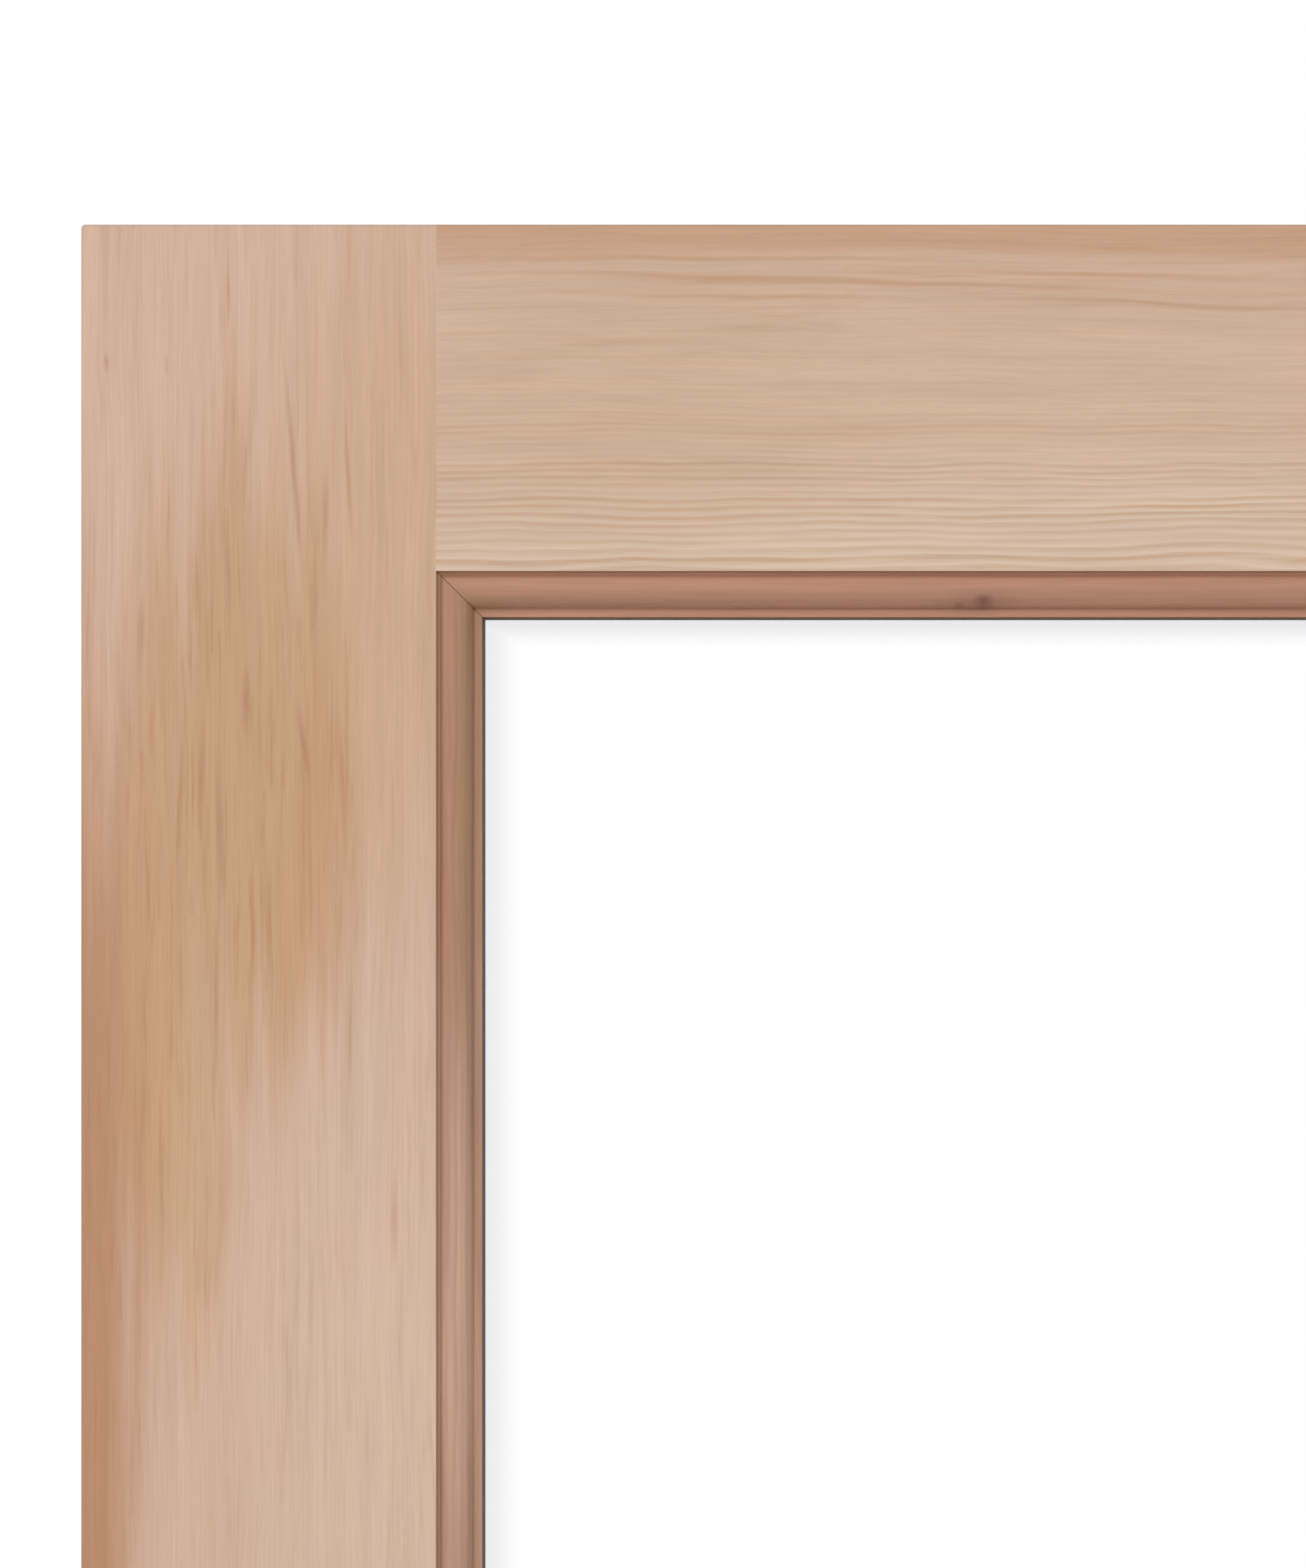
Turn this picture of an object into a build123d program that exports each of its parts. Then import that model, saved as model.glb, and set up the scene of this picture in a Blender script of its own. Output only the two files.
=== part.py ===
from build123d import *
import math
import os

# Prehung sauna door: a glazed stile and rail leaf hung on three butt hinges in its own frame, with a
# sprung roller catch and a bow pull on each face. Millimetres. +Z is up, Y runs across the doorway and X
# through the wall, with the outside at -X. The origin is the middle of the sill's underside. Pieces of the
# leaf are drawn with the door shut and then swung open about the hinge line, which is how the door stands.
open_angle = 90.0

# Leaf
leaf_width = 609.6
leaf_height = 2032.0
leaf_thickness = 44.45
arris_radius = 1.2
stile_face = 100.8
top_rail_face = 98.4
bottom_rail_face = 222.0
tongue_thickness = 12.0

# Ovolo moulding, the same on the loose beads outside and on the solid wood inside
bead_width = 12.9
quirk_width = 1.2
quirk_depth = 2.3
nose_radius = 1.8
crest_flat = 0.8
ovolo_radius = 6.6
ledge_step = 0.5
bead_fit = 0.1

# Sealed glazed unit and its bedding
pane_thickness = 4.0
cavity_thickness = 8.0
glass_clearance = 3.0
seal_width = 3.5
spacer_width = 6.3
tape_thickness = 1.5
tape_width = 10.4
block_length = 100.0
block_inset = 80.0

# Dowels and pins
dowel_radius = 6.35
dowel_length = 110.0
dowel_edge = 26.0
dowel_end_room = 1.5
top_dowels = 2
bottom_dowels = 3
glue_line = 0.05
pin_radius = 0.6
pin_length = 18.0
pin_inset = 60.0
pin_spacing = 260.0
pin_start_width = 6.5
pin_start_depth = 2.5

# Frame
edge_gap = 3.0
sill_gap = 5.0
jamb_thickness = 17.5
jamb_depth = 116.0
jamb_arris = 1.0
head_housing = 9.5
sill_thickness = 19.0
sill_bevel_width = 34.0
sill_bevel_drop = 5.0
stop_thickness = 11.0
stop_width = 32.0
stop_gap = 0.5
stop_arris = 3.0
nail_radius = 0.7
nail_length = 24.0
nail_cover = 0.5
nail_inset = 70.0
nail_spacing = 380.0
frame_screw_radius = 2.2
frame_screw_head = 4.5
frame_screw_length = 50.0
frame_screw_spread = 70.0

# Butt hinges
hinge_height = 101.6
hinge_top_inset = 178.0
hinge_bottom_inset = 280.0
hinge_backset = 6.35
hinge_corner = 6.35
plate_thickness = 2.4
knuckle_count = 5
knuckle_radius = 5.5
knuckle_gap = 0.2
barrel_proud = 6.0
barrel_relief = 0.3
hinge_pin_radius = 3.175
hinge_pin_clearance = 0.04
pin_head_radius = 5.2
pin_head_height = 3.2
pin_head_round = 1.9
pin_tip_length = 2.6
pin_tip_round = 1.9
mortise_fit = 0.1
hinge_screw_radius = 2.3
hinge_screw_head = 4.6
jamb_screw_length = 15.0
leaf_screw_length = 30.0
hinge_screw_end = 12.5
hinge_screw_edge = 9.5
hinge_screw_count = 4
screw_fit = 0.05
screw_point_angle = 53.0

# Roller catch and its strike
catch_height = 950.0
catch_plate_width = 25.4
catch_plate_length = 57.0
catch_plate_thickness = 2.0
catch_plate_corner = 6.0
catch_case_radius = 9.8
catch_case_depth = 38.0
catch_case_back = 1.5
catch_screw_radius = 1.7
catch_screw_head = 3.4
catch_screw_length = 18.0
catch_screw_spread = 43.0
plunger_radius = 7.0
plunger_length = 17.5
plunger_proud = 1.5
plunger_clearance = 0.05
collar_radius = 8.0
collar_length = 3.0
collar_room = 0.1
spigot_radius = 4.4
spigot_length = 3.0
roller_radius = 6.0
roller_width = 8.0
roller_side_room = 0.3
roller_back_room = 0.8
roller_setback = 0.8
roller_pin_radius = 1.5
roller_pin_clearance = 0.05
roller_pin_end_room = 0.4
spring_radius = 5.4
spring_wire = 0.5
spring_pitch = 3.4
spring_seat_room = 0.05
strike_length = 57.0
strike_thickness = 1.6
strike_margin = 17.0
strike_corner = 6.0
strike_window_width = 13.0
strike_window_height = 12.0
strike_pocket_depth = 6.0
strike_lip_height = 28.0
strike_lip_radius = 8.0
strike_lip_angle = 60.0

# Bow pulls
pull_height = 1060.0
pull_length = 300.0
pull_foot = 42.0
pull_rise = 18.0
pull_projection = 56.0
pull_inner_rise = 12.0
pull_inner_reach = 30.0
pull_width = 30.0
pull_round = 4.0
rod_radius = 4.0
rod_clearance = 0.2
insert_radius = 6.0
insert_length = 16.0
insert_bore_room = 0.02

# Places that follow from the sizes above
opening_half = leaf_width / 2 + edge_gap
frame_half = opening_half + jamb_thickness
leaf_bottom = sill_thickness + sill_gap
leaf_top = leaf_bottom + leaf_height
head_underside = leaf_top + edge_gap
frame_top = head_underside + jamb_thickness
face_x = -jamb_depth / 2
back_x = face_x + leaf_thickness
mid_x = face_x + leaf_thickness / 2
leaf_edge = leaf_width / 2
rebate_half = leaf_edge - stile_face
rebate_bottom = leaf_bottom + bottom_rail_face
rebate_top = leaf_top - top_rail_face
unit_thickness = 2 * pane_thickness + cavity_thickness
bead_depth = leaf_thickness - tongue_thickness - 2 * tape_thickness - unit_thickness
crest_depth = quirk_depth - nose_radius
ledge_depth = crest_depth + ovolo_radius + ledge_step
hinge_x = face_x - barrel_proud
hinge_y = -(leaf_width + edge_gap) / 2
hinge_line = Axis((hinge_x, hinge_y, 0), (0, 0, 1))
plate_reach = leaf_thickness - hinge_backset
hinge_middles = {
    "upper": leaf_top - hinge_top_inset - hinge_height / 2,
    "middle": (leaf_top - hinge_top_inset + leaf_bottom + hinge_bottom_inset) / 2,
    "lower": leaf_bottom + hinge_bottom_inset + hinge_height / 2,
}


def block(x_range, y_range, z_range):
    """A square-edged block between two limits along each axis."""
    ranges = (x_range, y_range, z_range)
    corner = Pos(*[min(pair) for pair in ranges])
    size = [abs(pair[1] - pair[0]) for pair in ranges]
    return corner * Box(*size, align=(Align.MIN, Align.MIN, Align.MIN))


def rod(start, end, radius):
    """A round bar from one point to another."""
    along = Vector(*end) - Vector(*start)
    base = Plane(origin=start, z_dir=along)
    return base * Cylinder(radius, along.length, align=(Align.CENTER, Align.CENTER, Align.MIN))


def spread(low, high, count):
    """Evenly spaced places from low to high, both ends included."""
    return [low + (high - low) * step / (count - 1) for step in range(count)]


def places_along(low, high, inset, spacing):
    """Fastener places along a length, as near to a spacing as whole numbers allow."""
    run = high - low - 2 * inset
    count = max(2, round(run / spacing) + 1)
    return spread(low + inset, high - inset, count)


def wood_screw(seat, into, radius, head_radius, length, extra=0.0):
    """A countersunk screw whose flat head lies at the seat point and whose shank runs into the wood."""
    head_depth = head_radius - radius
    tip = radius / math.tan(math.radians(screw_point_angle / 2))
    outline = Polyline(
        (0, 0),
        (head_radius + extra, 0),
        (radius + extra, head_depth),
        (radius + extra, length - tip),
        (0, length + extra),
        close=True,
    )
    blank = revolve(Plane.XZ * make_face(outline), Axis.Z)
    return Plane(origin=seat, z_dir=into) * blank


# Moulding and members

def moulding(place):
    """Edges of the ovolo from the quirk to the sight edge. place turns (width, depth) into a point."""
    nose_end = quirk_width + nose_radius
    crest_end = nose_end + crest_flat
    ovolo_end = crest_end + ovolo_radius
    ovolo_depth = crest_depth + ovolo_radius
    diagonal = math.sqrt(0.5)
    nose_middle = (nose_end - nose_radius * diagonal, quirk_depth - nose_radius * diagonal)
    ovolo_middle = (crest_end + ovolo_radius * diagonal, ovolo_depth - ovolo_radius * diagonal)
    return [
        Line(place(0, quirk_depth), place(quirk_width, quirk_depth)),
        ThreePointArc(place(quirk_width, quirk_depth), place(*nose_middle), place(nose_end, crest_depth)),
        Line(place(nose_end, crest_depth), place(crest_end, crest_depth)),
        ThreePointArc(place(crest_end, crest_depth), place(*ovolo_middle), place(ovolo_end, ovolo_depth)),
        Line(place(ovolo_end, ovolo_depth), place(ovolo_end, ledge_depth)),
        Line(place(ovolo_end, ledge_depth), place(bead_width, ledge_depth)),
    ]


def closed_face(curves):
    """One face bounded by a closed run of edges."""
    edges = [edge for curve in curves for edge in curve.edges()]
    return Face(Wire(edges))


def member_section(face_width):
    """Section of a stile or rail, measured from the rebate wall: rebate outside, moulded tongue inside."""
    def inside(width, depth):
        return (width, leaf_thickness - depth)

    tongue_front = leaf_thickness - tongue_thickness
    plain = Polyline(
        inside(0, quirk_depth),
        inside(0, 0),
        inside(-face_width, 0),
        (-face_width, 0),
        (0, 0),
        (0, tongue_front),
        (bead_width, tongue_front),
        inside(bead_width, ledge_depth),
    )
    return closed_face([plain] + moulding(inside))


def bead_section():
    """Section of a loose glazing bead, measured from the rebate wall."""
    def outside(width, depth):
        return (width, depth)

    plain = Polyline(
        outside(bead_width, ledge_depth),
        outside(bead_width, bead_depth),
        outside(0, bead_depth),
        outside(0, quirk_depth),
    )
    return closed_face([plain] + moulding(outside))


def rebate_run(side):
    """One side of the glazing rebate: its start and end corners, its direction and the way to the glass."""
    start, end, inward = {
        "top": ((rebate_half, rebate_top), (-rebate_half, rebate_top), (0, -1)),
        "bottom": ((-rebate_half, rebate_bottom), (rebate_half, rebate_bottom), (0, 1)),
        "hinge": ((-rebate_half, rebate_top), (-rebate_half, rebate_bottom), (1, 0)),
        "lock": ((rebate_half, rebate_bottom), (rebate_half, rebate_top), (-1, 0)),
    }[side]
    start = Vector(0, *start)
    end = Vector(0, *end)
    return start, end, (end - start).normalized(), Vector(0, *inward)


def run_section(side, section, overrun=0.0):
    """A section carried along one side of the rebate, and past both of its corners by an overrun."""
    start, end, along, inward = rebate_run(side)
    origin = start - along * overrun + Vector(face_x, 0, 0)
    base = Plane(origin=origin, x_dir=inward, z_dir=along)
    return extrude(base * section, (end - start).length + 2 * overrun, dir=along)


def mitred_strip(side, inset=0.0):
    """The strip along one side of the rebate, a bead wide and as deep as the leaf, mitred at both ends."""
    start, end, along, inward = rebate_run(side)
    near = [start + along * inset, end - along * inset]
    far = [near[1] + (inward - along) * bead_width, near[0] + (inward + along) * bead_width]
    outline = Polyline(*[(corner.Y, corner.Z) for corner in near + far], close=True)
    base = Plane(origin=(face_x, 0, 0), x_dir=(0, 1, 0), z_dir=(1, 0, 0))
    return extrude(base * make_face(outline), leaf_thickness, dir=(1, 0, 0))


def leaf_envelope():
    """The whole leaf as one blank with eased arrises round both faces and edges."""
    blank = block((face_x, back_x), (-leaf_edge, leaf_edge), (leaf_bottom, leaf_top))
    return fillet(blank.edges(), arris_radius)


def dowel_levels():
    """Heights of the dowels in the top rail and in the bottom rail."""
    top = spread(rebate_top + dowel_edge, leaf_top - dowel_edge, top_dowels)
    bottom = spread(leaf_bottom + dowel_edge, rebate_bottom - dowel_edge, bottom_dowels)
    return top + bottom


def rail_dowels(extra=0.0, end_room=0.0):
    """Dowels across each joint of a rail and a stile, or the holes that take them."""
    reach = dowel_length / 2 + end_room
    bars = []
    for joint_y in (-rebate_half, rebate_half):
        for level in dowel_levels():
            start = (mid_x, joint_y - reach, level)
            bars.append(rod(start, (mid_x, joint_y + reach, level), dowel_radius + extra))
    return bars


def bead_pins(extra=0.0):
    """Headless pins driven slantwise through each bead into the wood behind, set below the surface."""
    pins = []
    slant = pin_length * math.sqrt(0.5)
    start_x = face_x + pin_start_depth
    end_x = start_x + slant
    for side in (-1, 1):
        start_y = side * (rebate_half - pin_start_width)
        end_y = start_y + side * slant
        for level in places_along(rebate_bottom, rebate_top, pin_inset, pin_spacing):
            pins.append(rod((start_x, start_y, level), (end_x, end_y, level), pin_radius + extra))
    for edge, side in ((rebate_bottom, -1), (rebate_top, 1)):
        start_z = edge - side * pin_start_width
        end_z = start_z + side * slant
        for across in places_along(-rebate_half, rebate_half, pin_inset, pin_spacing):
            pins.append(rod((start_x, across, start_z), (end_x, across, end_z), pin_radius + extra))
    return pins


def member(side, face_width, plank):
    """A stile or rail: its plank, and a moulded tongue that meets the next tongues in mitres."""
    bar = run_section(side, member_section(face_width), overrun=bottom_rail_face + top_rail_face)
    piece = bar & (plank + mitred_strip(side)) & leaf_envelope()
    return piece - rail_dowels(glue_line, dowel_end_room) - bead_pins(glue_line)


def plain_stile(side):
    """A full-height stile. side is 1 at the lock edge and -1 at the hinge edge."""
    plank = block((face_x, back_x), (side * rebate_half, side * leaf_edge), (leaf_bottom, leaf_top))
    return member("lock" if side > 0 else "hinge", stile_face, plank)


def top_rail():
    """The rail over the glass, between the stiles."""
    plank = block((face_x, back_x), (-rebate_half, rebate_half), (rebate_top, leaf_top))
    return member("top", top_rail_face, plank)


def bottom_rail():
    """The tall rail under the glass, between the stiles."""
    plank = block((face_x, back_x), (-rebate_half, rebate_half), (leaf_bottom, rebate_bottom))
    return member("bottom", bottom_rail_face, plank)


# Glazing

def unit_ring(x_range, outer_inset, width):
    """A rectangular ring in the glazing rebate, inset from the rebate wall."""
    outer_y = rebate_half - outer_inset
    outer_z = (rebate_bottom + outer_inset, rebate_top - outer_inset)
    inner_z = (outer_z[0] + width, outer_z[1] - width)
    ring = block(x_range, (-outer_y, outer_y), outer_z)
    return ring - block(x_range, (-outer_y + width, outer_y - width), inner_z)


def pane(front_x):
    """One sheet of glass, standing clear of the rebate all round."""
    half = rebate_half - glass_clearance
    height = (rebate_bottom + glass_clearance, rebate_top - glass_clearance)
    return block((front_x, front_x + pane_thickness), (-half, half), height)


def glazing():
    """The sealed unit, the tapes it is bedded in and the blocks it stands on."""
    outer_tape_x = face_x + bead_depth
    outer_pane_x = outer_tape_x + tape_thickness
    cavity_x = outer_pane_x + pane_thickness
    inner_pane_x = cavity_x + cavity_thickness
    inner_tape_x = inner_pane_x + pane_thickness
    cavity = (cavity_x, cavity_x + cavity_thickness)
    blocks = []
    for side in (-1, 1):
        middle = side * (rebate_half - block_inset)
        span = (middle - block_length / 2, middle + block_length / 2)
        under = (rebate_bottom, rebate_bottom + glass_clearance)
        blocks.append(block((outer_pane_x, inner_tape_x), span, under))
    outer_bed = (outer_tape_x, outer_pane_x)
    inner_bed = (inner_tape_x, inner_tape_x + tape_thickness)
    return {
        "outer_glazing_tape": unit_ring(outer_bed, glass_clearance, tape_width),
        "inner_glazing_tape": unit_ring(inner_bed, glass_clearance, tape_width),
        "outer_pane": pane(outer_pane_x),
        "inner_pane": pane(inner_pane_x),
        "pane_edge_seal": unit_ring(cavity, glass_clearance, seal_width),
        "pane_spacer": unit_ring(cavity, glass_clearance + seal_width, spacer_width),
        "setting_blocks": Compound(children=blocks),
    }


def glazing_bead(side):
    """A loose bead that holds the glazed unit along one side, mitred at both ends."""
    bar = run_section(side, bead_section())
    return (bar & mitred_strip(side, bead_fit)) - bead_pins(glue_line)


# Hinges

def knuckle_spans(middle):
    """Height limits of the knuckles of one hinge, from the lowest up."""
    pitch = hinge_height / knuckle_count
    bottom = middle - hinge_height / 2
    return [(bottom + step * pitch, bottom + (step + 1) * pitch) for step in range(knuckle_count)]


def plate_blank(side, middle, extra=0.0):
    """The flat part of a hinge plate, from the hinge line to its far corners. side is -1 on the jamb."""
    near = hinge_y + side * edge_gap / 2
    far = near + side * plate_thickness
    reach = (hinge_x, face_x + plate_reach + extra)
    half = hinge_height / 2 + extra
    blank = block(reach, (near, far), (middle - half, middle + half))
    far_edges = blank.edges().filter_by(Axis.Y).group_by(Axis.X)[-1]
    return fillet(far_edges, hinge_corner)


def hinge_screw_seats(side, middle):
    """Seats of one plate's screws, staggered in two columns."""
    near = hinge_y + side * edge_gap / 2
    half = hinge_height / 2 - hinge_screw_end
    levels = spread(middle - half, middle + half, hinge_screw_count)
    columns = (face_x + hinge_screw_edge, face_x + plate_reach - hinge_screw_edge)
    return [(columns[number % 2], near, level) for number, level in enumerate(levels)]


def hinge_screws(side, middle, extra=0.0):
    """One plate's screws, or with extra the holes for them."""
    length = jamb_screw_length if side < 0 else leaf_screw_length
    return [
        wood_screw(seat, (0, side, 0), hinge_screw_radius, hinge_screw_head, length, extra)
        for seat in hinge_screw_seats(side, middle)
    ]


def hinge_plate(side, middle):
    """A mortised plate with its rolled knuckles. The jamb's plate has the first, third and last of them."""
    spans = knuckle_spans(middle)
    own_first = 0 if side < 0 else 1
    plate = plate_blank(side, middle)
    for number, (low, high) in enumerate(spans):
        if number % 2 != own_first:
            room = (low - knuckle_gap / 2, high + knuckle_gap / 2)
            across = (hinge_y - 2 * knuckle_radius, hinge_y + 2 * knuckle_radius)
            plate = plate - block((hinge_x - knuckle_radius, face_x + barrel_relief), across, room)
    for number, (low, high) in enumerate(spans):
        if number % 2 == own_first:
            trim_low = knuckle_gap / 2 if number > 0 else 0
            trim_high = knuckle_gap / 2 if number < knuckle_count - 1 else 0
            foot = (hinge_x, hinge_y, low + trim_low)
            plate = plate + rod(foot, (hinge_x, hinge_y, high - trim_high), knuckle_radius)
    bore = hinge_pin_radius + hinge_pin_clearance
    bottom = middle - hinge_height / 2
    plate = plate - rod((hinge_x, hinge_y, bottom), (hinge_x, hinge_y, bottom + hinge_height), bore)
    return plate - hinge_screws(side, middle, screw_fit)


def hinge_pin(middle):
    """A loose pin with a button head above the barrel and a round tip below it."""
    bottom = middle - hinge_height / 2
    top = middle + hinge_height / 2
    shank = rod((hinge_x, hinge_y, bottom - pin_tip_length), (hinge_x, hinge_y, top), hinge_pin_radius)
    head = rod((hinge_x, hinge_y, top), (hinge_x, hinge_y, top + pin_head_height), pin_head_radius)
    head = fillet(head.edges().group_by(Axis.Z)[-1], pin_head_round)
    shank = fillet(shank.edges().group_by(Axis.Z)[0], pin_tip_round)
    return shank + head


def hinge_mortise(side, middle):
    """The shallow pocket in the wood that a plate lies in, open at the face the barrel stands on."""
    pocket = plate_blank(side, middle, mortise_fit)
    reach = (hinge_y - leaf_edge, hinge_y + leaf_edge)
    return pocket & block((face_x, back_x), reach, (leaf_bottom, leaf_top))


# Catch and strike

def rounded_plate(x_range, y_range, z_range, radius):
    """A flat plate across Y with four rounded corners."""
    blank = block(x_range, y_range, z_range)
    return fillet(blank.edges().filter_by(Axis.Y), radius)


def catch_screws(extra=0.0):
    """The two screws that hold the catch in the leaf's edge."""
    return [
        wood_screw(
            (mid_x, leaf_edge, catch_height + side * catch_screw_spread / 2),
            (0, -1, 0), catch_screw_radius, catch_screw_head, catch_screw_length, extra,
        )
        for side in (-1, 1)
    ]


def catch_outline(extra=0.0):
    """Face plate and case of the catch without their bores, or with extra the hole cut for them."""
    half = catch_plate_width / 2 + extra
    long_half = catch_plate_length / 2 + extra
    plate = rounded_plate(
        (mid_x - half, mid_x + half),
        (leaf_edge - catch_plate_thickness, leaf_edge),
        (catch_height - long_half, catch_height + long_half),
        catch_plate_corner,
    )
    back = (mid_x, leaf_edge - catch_case_depth - extra, catch_height)
    return plate + rod(back, (mid_x, leaf_edge, catch_height), catch_case_radius + extra)


def catch_case():
    """A face plate with a blind case, narrower in front, where it holds the plunger's collar back."""
    collar_front = leaf_edge + plunger_proud - plunger_length + collar_length
    shoulder = (mid_x, collar_front + collar_room, catch_height)
    back = (mid_x, leaf_edge - catch_case_depth + catch_case_back, catch_height)
    front_bore = rod(shoulder, (mid_x, leaf_edge, catch_height), plunger_radius + plunger_clearance)
    rear_bore = rod(back, shoulder, collar_radius + plunger_clearance)
    return catch_outline() - front_bore - rear_bore - catch_screws(screw_fit)


def roller_centre_y():
    """Where the roller's pin crosses the plunger."""
    return leaf_edge - roller_setback


def roller_pin(extra=0.0):
    """The upright pin that the roller turns on."""
    half = plunger_radius - roller_pin_end_room
    foot = (mid_x, roller_centre_y(), catch_height - half)
    return rod(foot, (mid_x, roller_centre_y(), catch_height + half), roller_pin_radius + extra)


def catch_plunger():
    """The sliding plunger: a forked front for the roller, a collar and a spigot for the spring behind."""
    front = leaf_edge + plunger_proud
    back = front - plunger_length
    body = rod((mid_x, back, catch_height), (mid_x, front, catch_height), plunger_radius)
    collar = rod((mid_x, back, catch_height), (mid_x, back + collar_length, catch_height), collar_radius)
    spigot = rod((mid_x, back - spigot_length, catch_height), (mid_x, back, catch_height), spigot_radius)
    slot_back = roller_centre_y() - roller_radius - roller_back_room
    slot_half = roller_width / 2 + roller_side_room
    slot = block(
        (mid_x - plunger_radius, mid_x + plunger_radius),
        (slot_back, front),
        (catch_height - slot_half, catch_height + slot_half),
    )
    return body + collar + spigot - slot - roller_pin(screw_fit)


def catch_roller():
    """The plastic roller that snaps into the strike."""
    half = roller_width / 2
    centre = roller_centre_y()
    wheel = rod((mid_x, centre, catch_height - half), (mid_x, centre, catch_height + half), roller_radius)
    wheel = chamfer(wheel.edges(), roller_side_room)
    return wheel - roller_pin(roller_pin_clearance)


def catch_spring():
    """The coil spring between the plunger and the back of the case."""
    front = leaf_edge + plunger_proud - plunger_length - spring_seat_room - spring_wire
    back = leaf_edge - catch_case_depth + catch_case_back + spring_seat_room + spring_wire
    seat = (mid_x, back, catch_height)
    coil = Helix(spring_pitch, front - back, spring_radius, center=seat, direction=(0, 1, 0))
    start = Plane(origin=coil @ 0, z_dir=coil % 0)
    return sweep(start * Circle(spring_wire), path=coil)


def strike_screws(extra=0.0):
    """The two screws that hold the strike plate on the jamb."""
    return [
        wood_screw(
            (mid_x, opening_half, catch_height + side * catch_screw_spread / 2),
            (0, 1, 0), catch_screw_radius, catch_screw_head, jamb_screw_length, extra,
        )
        for side in (-1, 1)
    ]


def strike_blank(extra=0.0):
    """Flat part of the strike plate, square at the jamb's face edge and rounded at the far corners."""
    reach = leaf_thickness / 2 + strike_margin
    half = strike_length / 2 + extra
    blank = block(
        (face_x, face_x + reach + extra),
        (opening_half, opening_half + strike_thickness),
        (catch_height - half, catch_height + half),
    )
    far_edges = blank.edges().filter_by(Axis.Y).group_by(Axis.X)[-1]
    return fillet(far_edges, strike_corner)


def strike_window(y_range):
    """The hole that the roller drops into."""
    half_width = strike_window_width / 2
    half_height = strike_window_height / 2
    levels = (catch_height - half_height, catch_height + half_height)
    return block((mid_x - half_width, mid_x + half_width), y_range, levels)


def strike_lip():
    """The curved lip that eases the roller onto the plate."""
    turn = math.radians(strike_lip_angle)
    centre = (face_x, opening_half + strike_lip_radius)

    def on_lip(radius, share):
        angle = turn * share
        return (centre[0] - radius * math.sin(angle), centre[1] - radius * math.cos(angle))

    outer = strike_lip_radius
    inner = strike_lip_radius - strike_thickness
    section = closed_face([
        ThreePointArc(on_lip(outer, 0), on_lip(outer, 0.5), on_lip(outer, 1)),
        Line(on_lip(outer, 1), on_lip(inner, 1)),
        ThreePointArc(on_lip(inner, 1), on_lip(inner, 0.5), on_lip(inner, 0)),
        Line(on_lip(inner, 0), on_lip(outer, 0)),
    ])
    base = Pos(0, 0, catch_height - strike_lip_height / 2)
    return extrude(base * section, strike_lip_height, dir=(0, 0, 1))


def strike_plate():
    """A bent strike plate with a window for the roller."""
    window = strike_window((opening_half, opening_half + strike_thickness))
    return strike_blank() + strike_lip() - window - strike_screws(screw_fit)


# Pulls

def pull_rods(extra=0.0):
    """Two rods through the leaf that join the pulls back to back."""
    foot_level = pull_length / 2 - pull_foot / 2
    across = leaf_edge - stile_face / 2
    return [
        rod(
            (face_x - insert_length, across, pull_height + side * foot_level),
            (back_x + insert_length, across, pull_height + side * foot_level),
            rod_radius + extra,
        )
        for side in (-1, 1)
    ]


def pull_inserts():
    """Inserts in the pulls' feet, and the holes that take them."""
    foot_level = pull_length / 2 - pull_foot / 2
    across = leaf_edge - stile_face / 2
    inserts = []
    for start, outward in ((face_x, -1), (back_x, 1)):
        for side in (-1, 1):
            level = pull_height + side * foot_level
            end = start + outward * insert_length
            inserts.append(rod((start, across, level), (end, across, level), insert_radius))
    return inserts


def bow_pull(foot_x, outward):
    """A wooden bow with two feet on the leaf, rounded on every edge that the hand meets."""
    across = leaf_edge - stile_face / 2
    end = pull_length / 2
    inner_end = end - pull_foot

    def point(projection, level):
        return (foot_x + outward * projection, pull_height + level)

    inner_top = point(pull_inner_rise, inner_end)
    inner_bottom = point(pull_inner_rise, -inner_end)
    section = closed_face([
        Line(point(0, -end), point(pull_rise, -end)),
        ThreePointArc(point(pull_rise, -end), point(pull_projection, 0), point(pull_rise, end)),
        Line(point(pull_rise, end), point(0, end)),
        Line(point(0, end), point(0, inner_end)),
        Line(point(0, inner_end), inner_top),
        ThreePointArc(inner_top, point(pull_inner_reach, 0), inner_bottom),
        Line(inner_bottom, point(0, -inner_end)),
        Line(point(0, -inner_end), point(0, -end)),
    ])
    base = Plane(origin=(0, across - pull_width / 2, 0), x_dir=(1, 0, 0), z_dir=(0, -1, 0))
    bow = extrude(base * section, pull_width, dir=(0, 1, 0))
    rounded = [edge for edge in bow.edges() if abs(edge.center().X - foot_x) > pull_round]
    return fillet(rounded, pull_round) - pull_inserts()


# Frame

def stop_nails():
    """Nails that hold the stops, set just under their surface."""
    nails = []
    middle_x = back_x + stop_gap + stop_width / 2
    stop_end = head_underside - stop_thickness
    for side in (-1, 1):
        start = side * (opening_half - stop_thickness + nail_cover)
        end = start + side * nail_length
        for level in places_along(sill_thickness, stop_end, nail_inset, nail_spacing):
            nails.append(rod((middle_x, start, level), (middle_x, end, level), nail_radius))
    start = head_underside - stop_thickness + nail_cover
    for across in places_along(-opening_half, opening_half, nail_inset, nail_spacing):
        nails.append(rod((middle_x, across, start), (middle_x, across, start + nail_length), nail_radius))
    return nails


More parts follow.
